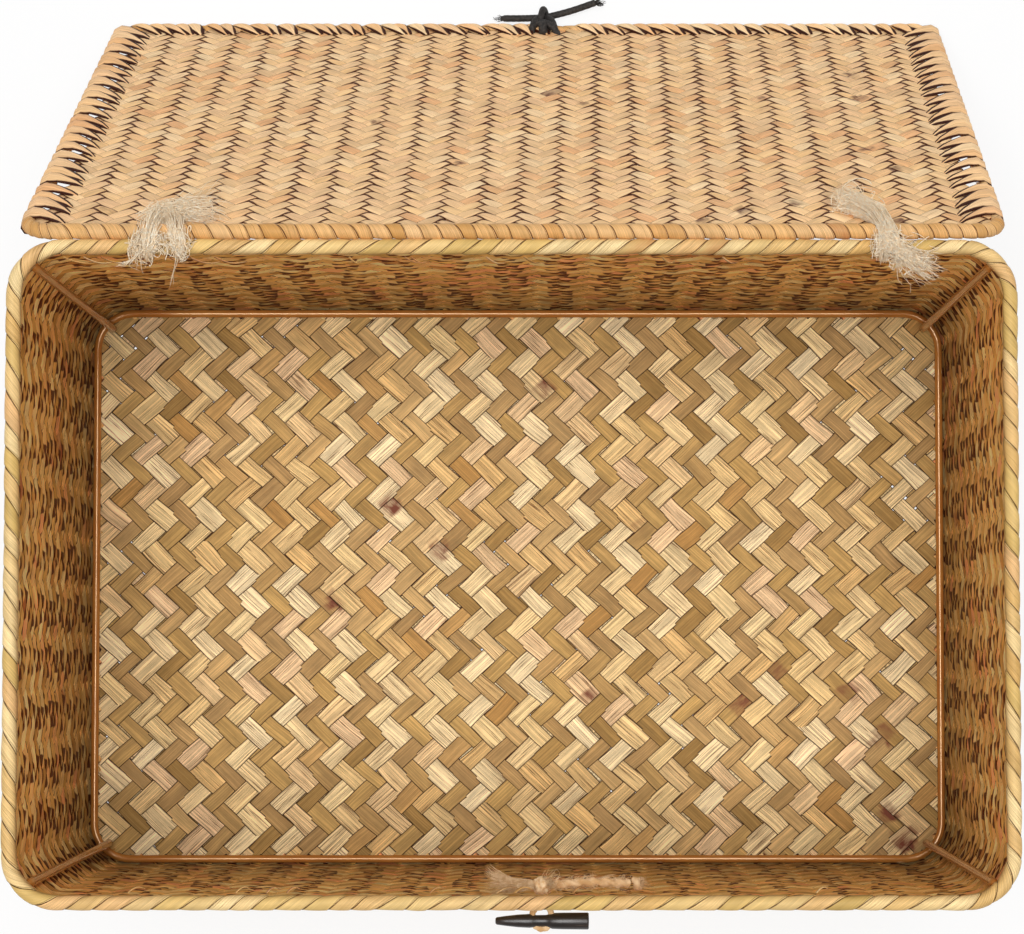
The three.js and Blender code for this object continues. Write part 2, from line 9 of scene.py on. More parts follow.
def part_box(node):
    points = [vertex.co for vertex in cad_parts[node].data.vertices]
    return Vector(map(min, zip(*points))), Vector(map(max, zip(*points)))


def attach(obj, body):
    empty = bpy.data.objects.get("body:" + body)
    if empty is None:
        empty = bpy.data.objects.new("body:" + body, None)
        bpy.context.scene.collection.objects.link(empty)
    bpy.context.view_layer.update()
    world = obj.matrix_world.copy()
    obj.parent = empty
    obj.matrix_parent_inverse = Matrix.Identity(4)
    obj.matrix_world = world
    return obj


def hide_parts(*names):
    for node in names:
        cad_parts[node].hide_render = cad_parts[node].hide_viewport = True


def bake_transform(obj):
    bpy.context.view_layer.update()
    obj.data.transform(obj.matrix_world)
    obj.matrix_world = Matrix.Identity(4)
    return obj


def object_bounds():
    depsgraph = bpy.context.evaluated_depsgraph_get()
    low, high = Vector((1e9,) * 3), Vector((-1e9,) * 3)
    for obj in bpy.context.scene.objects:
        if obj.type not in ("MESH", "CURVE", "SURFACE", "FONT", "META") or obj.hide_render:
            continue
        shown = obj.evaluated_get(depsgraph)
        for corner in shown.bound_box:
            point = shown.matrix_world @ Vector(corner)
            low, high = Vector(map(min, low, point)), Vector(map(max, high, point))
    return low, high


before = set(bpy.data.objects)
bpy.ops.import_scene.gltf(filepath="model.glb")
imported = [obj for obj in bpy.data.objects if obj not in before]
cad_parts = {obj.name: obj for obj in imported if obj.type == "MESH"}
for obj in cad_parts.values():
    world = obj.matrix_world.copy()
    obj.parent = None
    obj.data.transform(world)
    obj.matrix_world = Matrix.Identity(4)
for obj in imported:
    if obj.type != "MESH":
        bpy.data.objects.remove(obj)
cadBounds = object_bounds()
print("frame loaded")

mm = 0.001
tau = 2 * math.pi
scene = bpy.context.scene

# An outline is half its length, half its width and its corner radius.
basket = dict(
    rim=(0.1971, 0.1291, 0.0191),  # the rim's middle line
    rimZ=0.2261,
    rimRadius=0.0029,
    rimDrop=0.002,  # the rim's section is this much taller than it is wide
    base=(0.2041, 0.1333, 0.021),
    plait=0.002,
    fold=0.0041,
    rod=0.0018,
    postTop=(0.1901, 0.1221),  # where the corner posts' middle lines meet the rim
)
lidPlan = dict(
    edge=(0.1966, 0.1275, 0.0099),  # the middle line of the lid's rod
    backY=0.1355,
    backZ=0.22531,
    slope=1.03664,  # radians below the level, down to the free edge
    radius=0.0031,
)
lidHalfX, lidHalfY, _ = lidPlan["edge"]


def linear(code):
    # sRGB hex to linear RGBA
    channels = [int(code[i:i + 2], 16) / 255 for i in (1, 3, 5)]
    return tuple(c / 12.92 if c <= 0.04045 else ((c + 0.055) / 1.055) ** 2.4 for c in channels) + (1.0,)


def setAll(thing, **settings):
    for key, value in settings.items():
        setattr(thing, key, value)
    return thing


def addNode(tree, kind, inputs=None, out=0, stops=None, **settings):
    # A node whose inputs are plain values or other nodes' outputs. It gives back one of its own outputs.
    node = setAll(tree.nodes.new(kind), **settings)
    for key, value in (inputs or {}).items():
        if isinstance(value, bpy.types.NodeSocket):
            tree.links.new(value, node.inputs[key])
        else:
            node.inputs[key].default_value = value
    if stops:
        ramp = node.color_ramp.elements
        while len(ramp) < len(stops):
            ramp.new(0.5)
        for element, (place, colour) in zip(ramp, stops):
            setAll(element, position=place, color=colour)
    return node.outputs[out]


def addMath(tree, operation, *inputs):
    return addNode(tree, "ShaderNodeMath", dict(enumerate(inputs)), operation=operation)


def addProduct(tree, first, second):
    # Vectors or colours, multiplied part by part
    return addNode(tree, "ShaderNodeVectorMath", {0: first, 1: second}, operation="MULTIPLY")


def addRange(tree, source, low, high, start=0, end=1, **settings):
    # low to high, brought to start to end
    return addNode(tree, "ShaderNodeMapRange", {0: source, 1: low, 2: high, 3: start, 4: end}, **settings)


def addMix(tree, share, first, second):
    return addNode(tree, "ShaderNodeMix", {0: share, 6: first, 7: second}, 2, data_type="RGBA")


def newMaterial(name, inputs):
    material = bpy.data.materials.new(name)
    material.use_nodes = True
    shader = material.node_tree.nodes["Principled BSDF"]
    for key, value in inputs.items():
        shader.inputs[key].default_value = value
    return material, material.node_tree, shader


def closeUp(bm):
    bmesh.ops.remove_doubles(bm, verts=bm.verts, dist=1e-6)
    bmesh.ops.recalc_face_normals(bm, faces=bm.faces)


def finishPiece(name, bm, material, body=None, replaced=(), thickness=0, smooth=True):
    mesh = bpy.data.meshes.new(name)
    if thickness:
        for edge in bm.edges:
            edge.smooth = not edge.is_boundary  # keeps the strips' cut edges crisp
    else:
        closeUp(bm)
    for face in bm.faces:
        face.smooth = smooth
    bm.to_mesh(mesh)
    bm.free()
    piece = bpy.data.objects.new(name, mesh)
    scene.collection.objects.link(piece)
    mesh.materials.append(material)
    if thickness:
        setAll(piece.modifiers.new("strip thickness", "SOLIDIFY"), thickness=thickness, offset=0)
    if body:
        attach(piece, body)
    if replaced:
        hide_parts(*replaced)
    return piece


def gridVerts(bm, columns, rows):
    # The corners of a new grid, each with its place along it, 0 to 1, and across it, -1 to 1
    for vert in bmesh.ops.create_grid(bm, x_segments=columns, y_segments=rows, size=1)["verts"]:
        yield vert, (vert.co.x + 1) / 2, vert.co.y


def soft(value):
    # Flattens the top and bottom of a wave
    return math.tanh(1.9 * value) / math.tanh(1.9)


def ease(value, start, end):
    part = min(1, max(0, (value - start) / (end - start)))
    return part * part * (3 - 2 * part)


stripLayerNames = ("stripAt", "stripTint", "stripShade")


def stripLayers(bm):
    return [bm.verts.layers.float_vector.new(name) for name in stripLayerNames]


def stripNoise(tree, at, stretch, detail, roughness):
    place = addProduct(tree, at, stretch)
    return addNode(tree, "ShaderNodeTexNoise",
                   {"Scale": 1, "Detail": detail, "Roughness": roughness, "Vector": place})


def plaitMaterial(name, look):
    # Dried seagrass split into flat strips: pale ones with dark grain lines, and smoother olive ones.
    # and stain; stripShade holds painted shade: how far a strip has gone under the next, which darkens it,
    # and how much painted shade the walls' inner side takes.
    material, tree, shader = newMaterial(name, {"Roughness": look["roughness"], "Specular IOR Level": 0.15})
    at, tint, shade = [
        addNode(tree, "ShaderNodeAttribute", out="Vector", attribute_name=layer) for layer in stripLayerNames]
    across = addNode(tree, "ShaderNodeSeparateXYZ", {0: at}, "Y")
    kind, tone, stainShare = addNode(tree, "ShaderNodeSeparateXYZ", {0: tint}).node.outputs
    diveShade, paintedShade, _ = addNode(tree, "ShaderNodeSeparateXYZ", {0: shade}).node.outputs
    pale, olive = [
        addNode(tree, "ShaderNodeValToRGB", {0: tone}, stops=look[key]) for key in ("pale", "olive")]
    base = addMix(tree, kind, pale, olive)
    # slow change of colour along each strip, over about 15 mm
    slow = stripNoise(tree, at, (70, 0.6, 400), 5, 0.6)
    patches = addRange(tree, slow, 0.3, 0.7, 1 - look["patchy"], 1 + look["patchy"])
    # fibres: bands of light and dark, and thin dark lines where two bands meet
    grain = stripNoise(tree, at, (14, look["grainLines"], 900), 2, 0.5)
    bands = addRange(tree, grain, 0.3, 0.7, 1 - look["bands"], 1 + look["bands"])
    patched = addProduct(tree, base, addMath(tree, "MULTIPLY", patches, bands))
    offLine = addMath(tree, "ABSOLUTE", addMath(tree, "SUBTRACT", grain, 0.5))
    line = addRange(tree, offLine, 0, look["lineWidth"], 1, 0)
    lineShare = addRange(tree, kind, 0, 1, look["grain"], look["grain"] * 0.35)
    grained = addMix(tree, addMath(tree, "MULTIPLY", line, lineShare), patched, linear(look["grainColour"]))
    # a few stained stretches
    stain = addMath(tree, "MULTIPLY", stainShare, addRange(tree, slow, 0.35, 0.6))
    stained = addMix(tree, stain, grained, linear(look["stain"]))
    # dark edges, partly the strips' own darker edges and partly painted shade in the gaps between them, which
    # widen to a lens of painted shade where a strip goes under its neighbour
    side = addMath(tree, "ABSOLUTE", across)
    reach = addMath(tree, "MULTIPLY_ADD", diveShade, look["lens"], side)
    lens = addRange(tree, reach, look["edgeFrom"], look["edgeFrom"] + look["edgeSoft"], 0, look["edge"],
                    interpolation_type="SMOOTHSTEP")
    # a faint line of painted shade along every edge
    thin = addRange(tree, side, 0.86, 0.97, 0, look["thin"])
    edged = addMix(tree, addMath(tree, "MAXIMUM", lens, thin), stained, linear(look["edgeAndShadeColour"]))
    # painted shade: the walls' inner side is darker towards the floor and on the front wall
    shown = addProduct(tree, edged, addMath(tree, "SUBTRACT", 1, paintedShade))
    tree.links.new(shown, shader.inputs["Base Color"])
    bump = addNode(tree, "ShaderNodeBump", {"Strength": 0.35, "Distance": 0.0002, "Height": grain})
    tree.links.new(bump, shader.inputs["Normal"])
    return material


def stops(*codes):
    last = max(1, len(codes) - 1)
    return [(index / last, linear(code)) for index, code in enumerate(codes)]


floorLook = dict(
    roughness=0.62,
    pale=stops("#E4BC7C", "#F4D69A", "#FFE8B8", "#EECC8E", "#F4D0A0"),
    olive=stops("#A8844A", "#C9A362", "#B28E5A", "#D6B176", "#BE9050"),
    patchy=0.2, bands=0.24, grain=1.0, grainLines=6.0, lineWidth=0.034, grainColour="#603610",
    edge=1.0, edgeFrom=0.85, edgeSoft=0.1, thin=0.0, lens=0.0, edgeAndShadeColour="#3E2006", stain="#7C4430",
)
# The same straw as the floor, given brighter, more orange colours as painted light, standing in for the warm
# light bounced inside the basket
wallLook = dict(
    floorLook,
    pale=stops("#FFC478", "#FFD486", "#FFE4A0", "#FFCA7C", "#FFB276"),
    olive=stops("#C69048", "#DCA856", "#F0BE6A", "#D09048"),
    patchy=0.24, bands=0.2, grain=0.5,
    edge=0.97, edgeFrom=0.98, edgeSoft=0.26, thin=0.35, lens=0.62, edgeAndShadeColour="#5A2006", stain="#B4582C",
)
lidLook = dict(
    floorLook,
    roughness=0.6,
    pale=stops("#F2BC84", "#FED29A", "#F6C896", "#FFDCAA", "#F0B882"),
    olive=stops("#F4C68C", "#FED49E", "#ECC290", "#FACE94"),
    patchy=0.16, bands=0.12, grain=0.5, grainLines=5, lineWidth=0.02, grainColour="#966034",
    edge=0.97, edgeFrom=0.98, edgeSoft=0.12, thin=0.45, lens=0.34, edgeAndShadeColour="#4E200A", stain="#5E3228",
)
wrapLook = dict(
    floorLook,
    roughness=0.5,
    pale=stops("#D8AC68", "#E6C284", "#F2D69E", "#E0B878", "#E4B67E"),
    olive=stops("#C8A662", "#DAB670", "#E2C082"),
    patchy=0.16, bands=0.14, grain=0.8, grainLines=7, lineWidth=0.022, grainColour="#8E6630",
    edgeFrom=0.83, edgeSoft=0.12, edgeAndShadeColour="#46260A", stain="#A5552C",
)
lidWrapLook = dict(
    wrapLook,
    pale=stops("#D29C5E", "#E0AE70", "#E8BC86", "#DAA668"),
    olive=stops("#CA9656", "#D8A86C", "#DEB27C"),
    edgeAndShadeColour="#4C2008",
)
# The folded strips' look, with wide lenses of painted shade along their edges
looseWrapLook = dict(
    lidLook, edge=1.0, edgeFrom=0.76, edgeSoft=0.2, thin=0.0, lens=0.6, edgeAndShadeColour="#3A1608")

floorMaterial = plaitMaterial("seagrass floor plait", floorLook)
wallMaterial = plaitMaterial("seagrass wall plait", wallLook)
lidMaterial = plaitMaterial("fine seagrass lid plait", lidLook)
wrapMaterial = plaitMaterial("straw-yellow rim wrapping", wrapLook)
lidWrapMaterial = plaitMaterial("straw-orange lid wrapping", lidWrapLook)
looseWrapMaterial = plaitMaterial("pale folded lid strips", looseWrapLook)


def noisyMaterial(name, inputs, pattern, colours, stretch=None, bump=None):
    # A finish whose colour goes up and down a ramp with one noise
    material, tree, shader = newMaterial(name, inputs)
    place = addNode(tree, "ShaderNodeTexCoord", out="Object")
    if stretch:
        place = addNode(tree, "ShaderNodeMapping", {"Vector": place, "Scale": stretch})
    cloud = addNode(tree, "ShaderNodeTexNoise", dict(pattern, Vector=place))
    ramp = addNode(tree, "ShaderNodeValToRGB", {0: cloud}, stops=[(at, linear(code)) for at, code in colours])
    tree.links.new(ramp, shader.inputs["Base Color"])
    if bump:
        lift = addNode(tree, "ShaderNodeBump", dict(bump, Height=cloud))
        tree.links.new(lift, shader.inputs["Normal"])
    return material


def juteMaterial(name, dark, light, patch):
    # Jute: dull hairy fibres from straw to pale brown
    return noisyMaterial(
        name,
        {"Roughness": 0.9, "Specular IOR Level": 0.2, "Sheen Weight": 0.8, "Sheen Tint": linear("#FFDDB0")},
        {"Scale": patch, "Detail": 2}, [(0.38, dark), (0.62, light)])


juteFinish = juteMaterial("loose jute fibre", "#FFE6C0", "#FFF8E6", 900)
twineFinish = juteMaterial("twisted jute twine", "#C89C6A", "#E2BE92", 250)
knotFinish = juteMaterial("untwisted jute twine", "#D0A676", "#ECCEA4", 600)
# Steel rod dipped in brown PVC: smooth, with a clear narrow highlight
rodFinish = noisyMaterial(
    "brown PVC-coated rod", {"Roughness": 0.14, "IOR": 2.0, "Specular Tint": linear("#FFDCB4")},
    {"Scale": 60, "Detail": 2}, [(0.3, "#B06C2E"), (0.7, "#C0803C")])
# Dark buffalo horn turned and buffed: near black with brown streaks along it
hornFinish = noisyMaterial(
    "dark buffed horn", {"Roughness": 0.34, "IOR": 1.54}, {"Scale": 1, "Detail": 4, "Roughness": 0.65},
    [(0.35, "#1B1613"), (0.6, "#2E2520"), (0.8, "#5A4A3E")],
    stretch=(40, 700, 700), bump={"Strength": 0.3, "Distance": 0.0002})
# Black waxed cotton cord, braided from ply about 0.6 mm wide
cordFinish = noisyMaterial(
    "black braided cotton cord", {"Roughness": 0.75}, {"Scale": 900, "Detail": 2},
    [(0.35, "#191614"), (0.7, "#3A3430")], bump={"Strength": 0.5, "Distance": 0.0003})
print("materials made")


# Painted shade on the walls' inner side, as how bright it shows: at the floor, its rise to the rim, its most,
# and the front's loss
insideShade = dict(low=0.4, rise=1.15, most=1.24, front=0.16)


def paintedShadeAt(point):
    # Painted shade: the walls' inner side is darker low down, and a little darker on the front wall
    shown = min(insideShade["most"], insideShade["low"] + insideShade["rise"] * (point.z / basket["rimZ"]))
    return 1 - shown * (1 - insideShade["front"] * ease(-point.y, 90 * mm, 128 * mm))


def addStrip(bm, layers, plan, side, index, runStart, runEnd):
    # One strip of a twill plait. Its run is counted in crossings, and side is 1 or -1 for its direction.
    stepX = plan["stepX"]
    stepY = plan["stepY"]
    cell = math.hypot(stepX, stepY)
    dice = random.Random(plan["seed"] + 7 * index + (3 if side < 0 else 0))
    olive = index % 2
    half = plan["stripWidth"][olive] / 2 * dice.uniform(*plan["uneven"])
    tone = dice.random()
    acrossX = -stepY / cell
    acrossY = side * stepX / cell
    lift = dice.uniform(-0.1, 0.1) * plan["rise"]
    lean = dice.uniform(-1, 1) * plan["wander"]
    steps = max(2, round((runEnd - runStart) * plan["steps"]))
    at, tint, shade = layers
    stainAt = dice.uniform(runStart, runEnd) if dice.random() < plan["stainShare"] else None
    stainWidth = dice.uniform(0.8, 2.2)
    for vert, part, across in gridVerts(bm, steps, 2):
        run = runStart + (runEnd - runStart) * part
        wander = noise.noise(Vector((run * 0.3, index * 3.7, side * 5.0)))
        if plan["rows"]:
            phase = run - (0.5 if side > 0 else 2.5)
        else:
            phase = side * (2 * index - run) - (0.5 if side > 0 else 2.5)
        upward = (phase + 2) % 4 - 2  # -1 to 1 where the strip lies on top
        if not plan["rows"]:
            upward *= -side
        floatTone = noise.cell(Vector((math.floor((phase + 2) / 4) + 0.5, index + 0.5, side + 0.5)))
        # painted shade near the ends of each float, where the strip goes under the next, more at one end than
        # the other
        dark = plan["upperShade"] * ease(upward, *plan["shadeSpan"])
        dark += plan["lowerShade"] * ease(-upward, *plan["shadeSpan"])
        dark *= 1 - plan["shadeVaries"] * (0.5 + 0.5 * floatTone)
        if plan["inner"]:
            # painted shade on the walls' inner face: short dark lenses where the strips press on each other
            dark = plan["outerShade"] * ease(abs(upward), 0.3, 0.95) * (0.75 + 0.5 * floatTone)
            inward = upward % 4 - 2
            if abs(inward) < 1:
                pair = math.floor(phase / 4) + 0.5
                strokeAt = noise.cell(Vector((pair, index + 40.5, side + 7.5)))
                force = noise.cell(Vector((pair + 9, index + 80.5, side + 3.5)))
                stroke = max(0, 1 - abs(inward - 0.45 * strokeAt) / 0.6) * (0.75 + 0.45 * force)
                dark = max(plan["inner"] * stroke, 0.6 * ease(abs(inward), 0.35, 1) * (1 + force))
        width = half * (1 + 0.16 * noise.noise(Vector((run * 0.5, index * 1.9, side * 9.0))))
        width *= 1 - plan["pinch"] * dark
        middleX = side * (run - 2 * index) * stepX
        middleY = run * stepY
        if plan["closed"]:
            width += plan["closed"](middleX, middleY)
        aside = across * width + lean * wander
        x = middleX + acrossX * aside
        y = middleY + acrossY * aside
        wave = math.cos(math.pi / 2 * phase)
        bulge = plan["puff"] * (1 - across * across) - plan["crown"] * across * across
        height = (plan["rise"] + bulge) * soft(wave) + lift
        vert.co = plan["place"](x, y, height)
        vert[at] = (run * cell, across, (index * 0.137 + (0.5 if side < 0 else 0)) % 1)
        vert[shade] = (dark, 0, 0)
        # painted shade on the walls' inner side: its strokes fade towards the rim, and it darkens towards the
        # floor and on the front wall
        if plan["inner"] and abs(inward) < 1:
            nearRim = ease(vert.co.z, basket["rimZ"] / 2, basket["rimZ"])
            vert[shade] = (dark * (1 - 0.3 * nearRim), paintedShadeAt(vert.co), 0)
        stain = 0.9 if stainAt is not None and abs(run - stainAt) < stainWidth else 0
        for markX, markY, markSize in plan["marks"]:
            if math.hypot(x / mm - markX, y / mm - markY) < markSize:
                stain = 1.0
        vert[tint] = (olive, min(1, max(0, tone + 0.3 * floatTone)), stain)


def stripRuns(plan, side, index):
    # The stretch of a strip whose middle line is inside the piece
    first = last = None
    run = plan["runFrom"]
    while run <= plan["runTo"]:
        x = side * (run - 2 * index) * plan["stepX"]
        y = run * plan["stepY"]
        if plan["inside"](x, y):
            if first is None:
                first = run
            last = run
        run += 0.1
    return first, last


def insideRounded(x, y, outline, inset):
    halfX, halfY, bend = [size - inset for size in outline]
    overX = max(0, abs(x) - (halfX - bend))
    overY = max(0, abs(y) - (halfY - bend))
    return abs(x) <= halfX and abs(y) <= halfY and math.hypot(overX, overY) <= bend


def plaitSheet(bm, plan, sides=(1, -1)):
    layers = stripLayers(bm)
    for side in sides:
        for index in range(-plan["strips"], plan["strips"] + 1):
            first, last = stripRuns(plan, side, index)
            if first is not None and last - first > 0.6:
                addStrip(bm, layers, plan, side, index, first, last)


# Floor: strips 7.6 mm apart at 42.8 degrees, plaited two over and two under.
floorPlan = dict(
    stepX=5.56 * mm, stepY=5.15 * mm, stripWidth=(8.5 * mm, 6.9 * mm), uneven=(0.8, 1.13), wander=1.6 * mm,
    thickness=0.45 * mm, rise=0.34 * mm, crown=0.02 * mm, puff=0, pinch=0,
    upperShade=0, lowerShade=0, shadeSpan=(0.2, 1.0), shadeVaries=0.5, inner=0,
    steps=4, rows=True, seed=11, stainShare=0.05,
    marks=((13, 94, 5), (-60, 38, 5), (-37, 16, 5), (-87, -7, 4), (172, -71, 5), (183, -121, 6),
           (156, -50, 4), (58, 29, 3), (34, -51, 3), (175, -108, 5)),  # old stains: x, y and size in mm
    # strips lie closer in the middle, so light comes through only near the sides
    closed=lambda x, y: 0.35 * mm * ease(0.186 - abs(x), 0, 0.03),
    strips=62, runFrom=-27, runTo=27,
    inside=lambda x, y: insideRounded(x, y, basket["base"], basket["fold"] - 0.4 * mm),
    place=lambda x, y, height: Vector((x, y, 1.05 * mm + height)),
)
bm = bmesh.new()
plaitSheet(bm, floorPlan)
finishPiece("floor_plait", bm, floorMaterial, "basket", ["basket_plait"],
            floorPlan["thickness"])
print("floor plaited")


# Walls: the same strips run up all round. x goes round the basket, y up the fold and the wall.
wallTurns = 116  # strips each way round, a multiple of four so that the twill closes
midBase = [size - basket["plait"] / 2 for size in basket["base"]]


def roundPoint(share, outline, out):
    # Point on a rounded rectangle made larger by out. share runs from 0 to 1 anticlockwise from the middle
    # of the front, by the lengths of the base's own sides, so corners keep their place.
    straightX = midBase[0] - midBase[2]
    straightY = midBase[1] - midBase[2]
    corner = math.pi / 2 * midBase[2]
    along = (share % 1) * (4 * (straightX + straightY) + 4 * corner)
    halfX, halfY, bend = [size + out for size in outline]
    innerX = halfX - bend
    innerY = halfY - bend
    # each side with its two ends, and each corner with its middle and the angle it starts at
    for size, first, second in (
        (straightX, (0, -halfY), (innerX, -halfY)),
        (corner, (innerX, -innerY), -math.pi / 2),
        (2 * straightY, (halfX, -innerY), (halfX, innerY)),
        (corner, (innerX, innerY), 0),
        (2 * straightX, (innerX, halfY), (-innerX, halfY)),
        (corner, (-innerX, innerY), math.pi / 2),
        (2 * straightY, (-halfX, innerY), (-halfX, -innerY)),
        (corner, (-innerX, -innerY), math.pi),
        (straightX, (-innerX, -halfY), (0, -halfY)),
    ):
        part = along / size
        if part <= 1 and size == corner:
            angle = second + part * math.pi / 2
            return first[0] + bend * math.cos(angle), first[1] + bend * math.sin(angle)
        if part <= 1:
            return [start + (end - start) * part for start, end in zip(first, second)]
        along -= size
    return 0, -halfY


wallLength = 4 * (midBase[0] + midBase[1] - 2 * midBase[2]) + tau * midBase[2]
foldRadius = basket["fold"] - basket["plait"] / 2
foldLength = math.pi / 2 * foldRadius
wallRise = basket["rimZ"] - 2.4 * mm - basket["fold"]  # the strips end inside the rim's wrapping


def placeOnWall(x, y, height):
    share = x / wallLength
    if y < foldLength:
        angle = y / foldRadius
        reach = foldRadius + height
        inset = basket["fold"] - reach * math.sin(angle)
        return Vector((*roundPoint(share, basket["base"], -inset), basket["fold"] - reach * math.cos(angle)))
    up = (y - foldLength) / (basket["rimZ"] - basket["fold"])
    outline = [low + (high - low) * up for low, high in zip(midBase, basket["rim"])]
    return Vector((*roundPoint(share, outline, height), basket["fold"] + y - foldLength))


# outerShade and inner set how strong the painted shade is where the strips show on the walls' outer and inner
# faces
wallPlan = dict(
    floorPlan, stepX=wallLength / (2 * wallTurns), rows=False, rise=0.5 * mm, crown=0.25 * mm, puff=0.4 * mm,
    pinch=0.05, outerShade=0.75, inner=1.8, seed=501, stainShare=0.13, marks=(), closed=None,
    place=placeOnWall)
wallRuns = (foldLength + wallRise) / wallPlan["stepY"]
for side, part, name in ((1, 0, "wall_plait_rising_one"), (1, 1, "wall_plait_rising_two"),
                         (-1, 0, "wall_plait_falling_one"), (-1, 1, "wall_plait_falling_two")):
    bm = bmesh.new()
    layers = stripLayers(bm)
    for index in range(wallTurns // 2):
        addStrip(bm, layers, wallPlan, side, index + part * wallTurns // 2, 0, wallRuns)
    finishPiece(name, bm, wallMaterial, "basket", ["basket_plait"], wallPlan["thickness"])
print("walls plaited")


# Lid: finer strips, 5.5 mm apart, fuller floats. y counts down the slope from the hinge edge.
slopeCos = math.cos(lidPlan["slope"])
slopeSin = math.sin(lidPlan["slope"])


def placeOnLid(x, y, height):
    # The lid is hand work and out of square: it is narrower along the hinge, and leans to the right.
    down = y + lidHalfY
    part = down / lidHalfY / 2
    leftShift = 3.5 + 3.5 * part
    rightShift = -3 + 4 * part
    x += (leftShift + (rightShift - leftShift) * (x / lidHalfX + 1) / 2) * mm
    return Vector((
        x,
        lidPlan["backY"] + down * slopeCos + height * slopeSin,
        lidPlan["backZ"] - down * slopeSin + height * slopeCos,
    ))


lidInset = 1.2 * mm
foldedWidth = 8.5 * mm  # kept free along each side edge for the strips folded round it
foldedFrom = -0.113  # y where the first of them is


def insideLid(x, y):
    margin = foldedWidth if y > foldedFrom else 0
    return abs(x) < lidHalfX - margin and insideRounded(x, y, lidPlan["edge"], lidInset)


lidWeave = dict(
    floorPlan, stepX=3.94 * mm, stepY=3.85 * mm, stripWidth=(6.0 * mm, 5.5 * mm), uneven=(0.9, 1.08),
    wander=1.1 * mm, thickness=0.4 * mm, rise=0.45 * mm, crown=0.2 * mm, puff=0.3 * mm,
    # painted shade at the float ends, much stronger at one end of each float than the other
    pinch=0.07, upperShade=1.35, lowerShade=0.4, shadeSpan=(-0.5, 0.85), shadeVaries=0.65,
    rows=False, seed=900, stainShare=0.03,
    marks=((-64, -4, 2.6), (116, -99, 3.5), (152, 60, 3.4), (153, 28, 4), (77, -118, 3), (94, -107, 3.5),
           (151, -36, 3), (28, 21, 2.4), (161, -60, 3), (109, 28, 2.4), (-25, -54, 2.2)),
    closed=None, strips=60, runFrom=-35, runTo=35, inside=insideLid, place=placeOnLid)
for side, name in ((1, "lid_plait_rising"), (-1, "lid_plait_falling")):
    bm = bmesh.new()
    plaitSheet(bm, lidWeave, (side,))
    finishPiece(name, bm, lidMaterial, "lid", ["lid_plait"], lidWeave["thickness"])
print("lid plaited")


def wrapEdge(name, plan, material, body, replaced):
    # Flat strip wound round and round an edge. The grid's lines lie along the turns, so that the
    # seams between turns are crisp. plan["place"] puts each point of the strip on the edge.
    dice = random.Random(plan["seed"])
    turns = plan["turns"]
    widths = [dice.uniform(0.75, 1.25) for _ in range(turns)]
    total = sum(widths)
    starts = [sum(widths[:index]) / total for index in range(turns + 1)]
    tones = [(dice.random(), dice.random()) for _ in range(turns)]
    across = plan["across"]
    bm = bmesh.new()
    at, tint, _ = stripLayers(bm)
    for vert, along, wayRound in gridVerts(bm, turns * len(across), plan["around"]):
        column = round(along * turns * len(across))
        turn = column // len(across)
        part = across[column % len(across)]
        ring = (wayRound + 1) / 2
        angle = ring * tau - math.pi / 2
        twist = ring - plan["slant"] * math.sin(ring * tau)
        place = turn + part + plan["hand"] * twist
        whole = math.floor(place)
        rest = place - whole
        share = starts[whole % turns] + (starts[whole % turns + 1] - starts[whole % turns]) * rest
        share += whole // turns
        bulge = plan["puff"] * math.sin(math.pi * part) ** 0.5
        bulge += plan["lap"] * part
        bulge += plan["uneven"] * noise.noise(Vector((share * 90, math.cos(angle), math.sin(angle))))
        vert.co = plan["place"](share, angle, bulge)
        owner = turn % turns
        vert[at] = (ring * 0.02, part * 2 - 1, (owner * 0.37) % 1)
        stain = 0.5 if tones[owner][1] > 0.985 else 0
        vert[tint] = (1 if tones[owner][1] > 0.7 else 0, tones[owner][0], stain)
    finishPiece(name, bm, material, body, replaced)


wrapThickness = 0.45 * mm
lidSide = (0.41, 0.64)  # the stretch of the rim that the lid hangs from
hingeSide = (0.09, 0.86)  # the same stretch of the lid's edge is before the first or past the second
foldedEdges = (0.158, 0.168)  # how far round from the hinge edge's middle the folded strips begin


def placeOnRim(share, angle, bulge):
    # The section is an upright oval; angle 0 is its outer side and a quarter turn its top.
    reach = basket["rimRadius"] - wrapThickness + bulge
    if lidSide[0] < share % 1 < lidSide[1]:
        reach += 0.3 * mm * max(0, math.cos(angle))  # fuller where the lid lies against it
    out = reach * math.cos(angle)
    up = reach * math.sin(angle)
    if up < 0:
        up -= basket["rimDrop"]
    return Vector((*roundPoint(share, basket["rim"], out), basket["rimZ"] + up))


rimWrap = dict(
    turns=124, across=(0, 0.04, 0.09, 0.3, 0.5, 0.7, 0.91, 0.96), around=20, slant=0.15, hand=1,
    puff=0.3 * mm, lap=0.34 * mm, uneven=0.3 * mm, seed=33, place=placeOnRim)
wrapEdge("rim_wrapping", rimWrap, wrapMaterial, "basket", ["rim_binding", "rim_ring"])


def placeOnLidEdge(share, angle, bulge):
    reach = lidPlan["radius"] - wrapThickness + bulge
    fromHinge = 0.5 - abs(share % 1 - 0.5)
    reach -= 1.1 * mm * ease(fromHinge, *foldedEdges)  # the plait's own strips fold over the other edges
    if share % 1 < hingeSide[0] or share % 1 > hingeSide[1]:
        reach += 0.5 * mm * max(0, math.cos(angle))  # fuller along the hinge edge
    return placeOnLid(*roundPoint(share, lidPlan["edge"], reach * math.cos(angle)), reach * math.sin(angle))


lidWrap = dict(rimWrap, turns=186, hand=-1, seed=77, place=placeOnLidEdge)
wrapEdge("lid_wrapping", lidWrap, lidWrapMaterial, "lid", ["lid_binding", "lid_ring"])
print("edges wrapped")


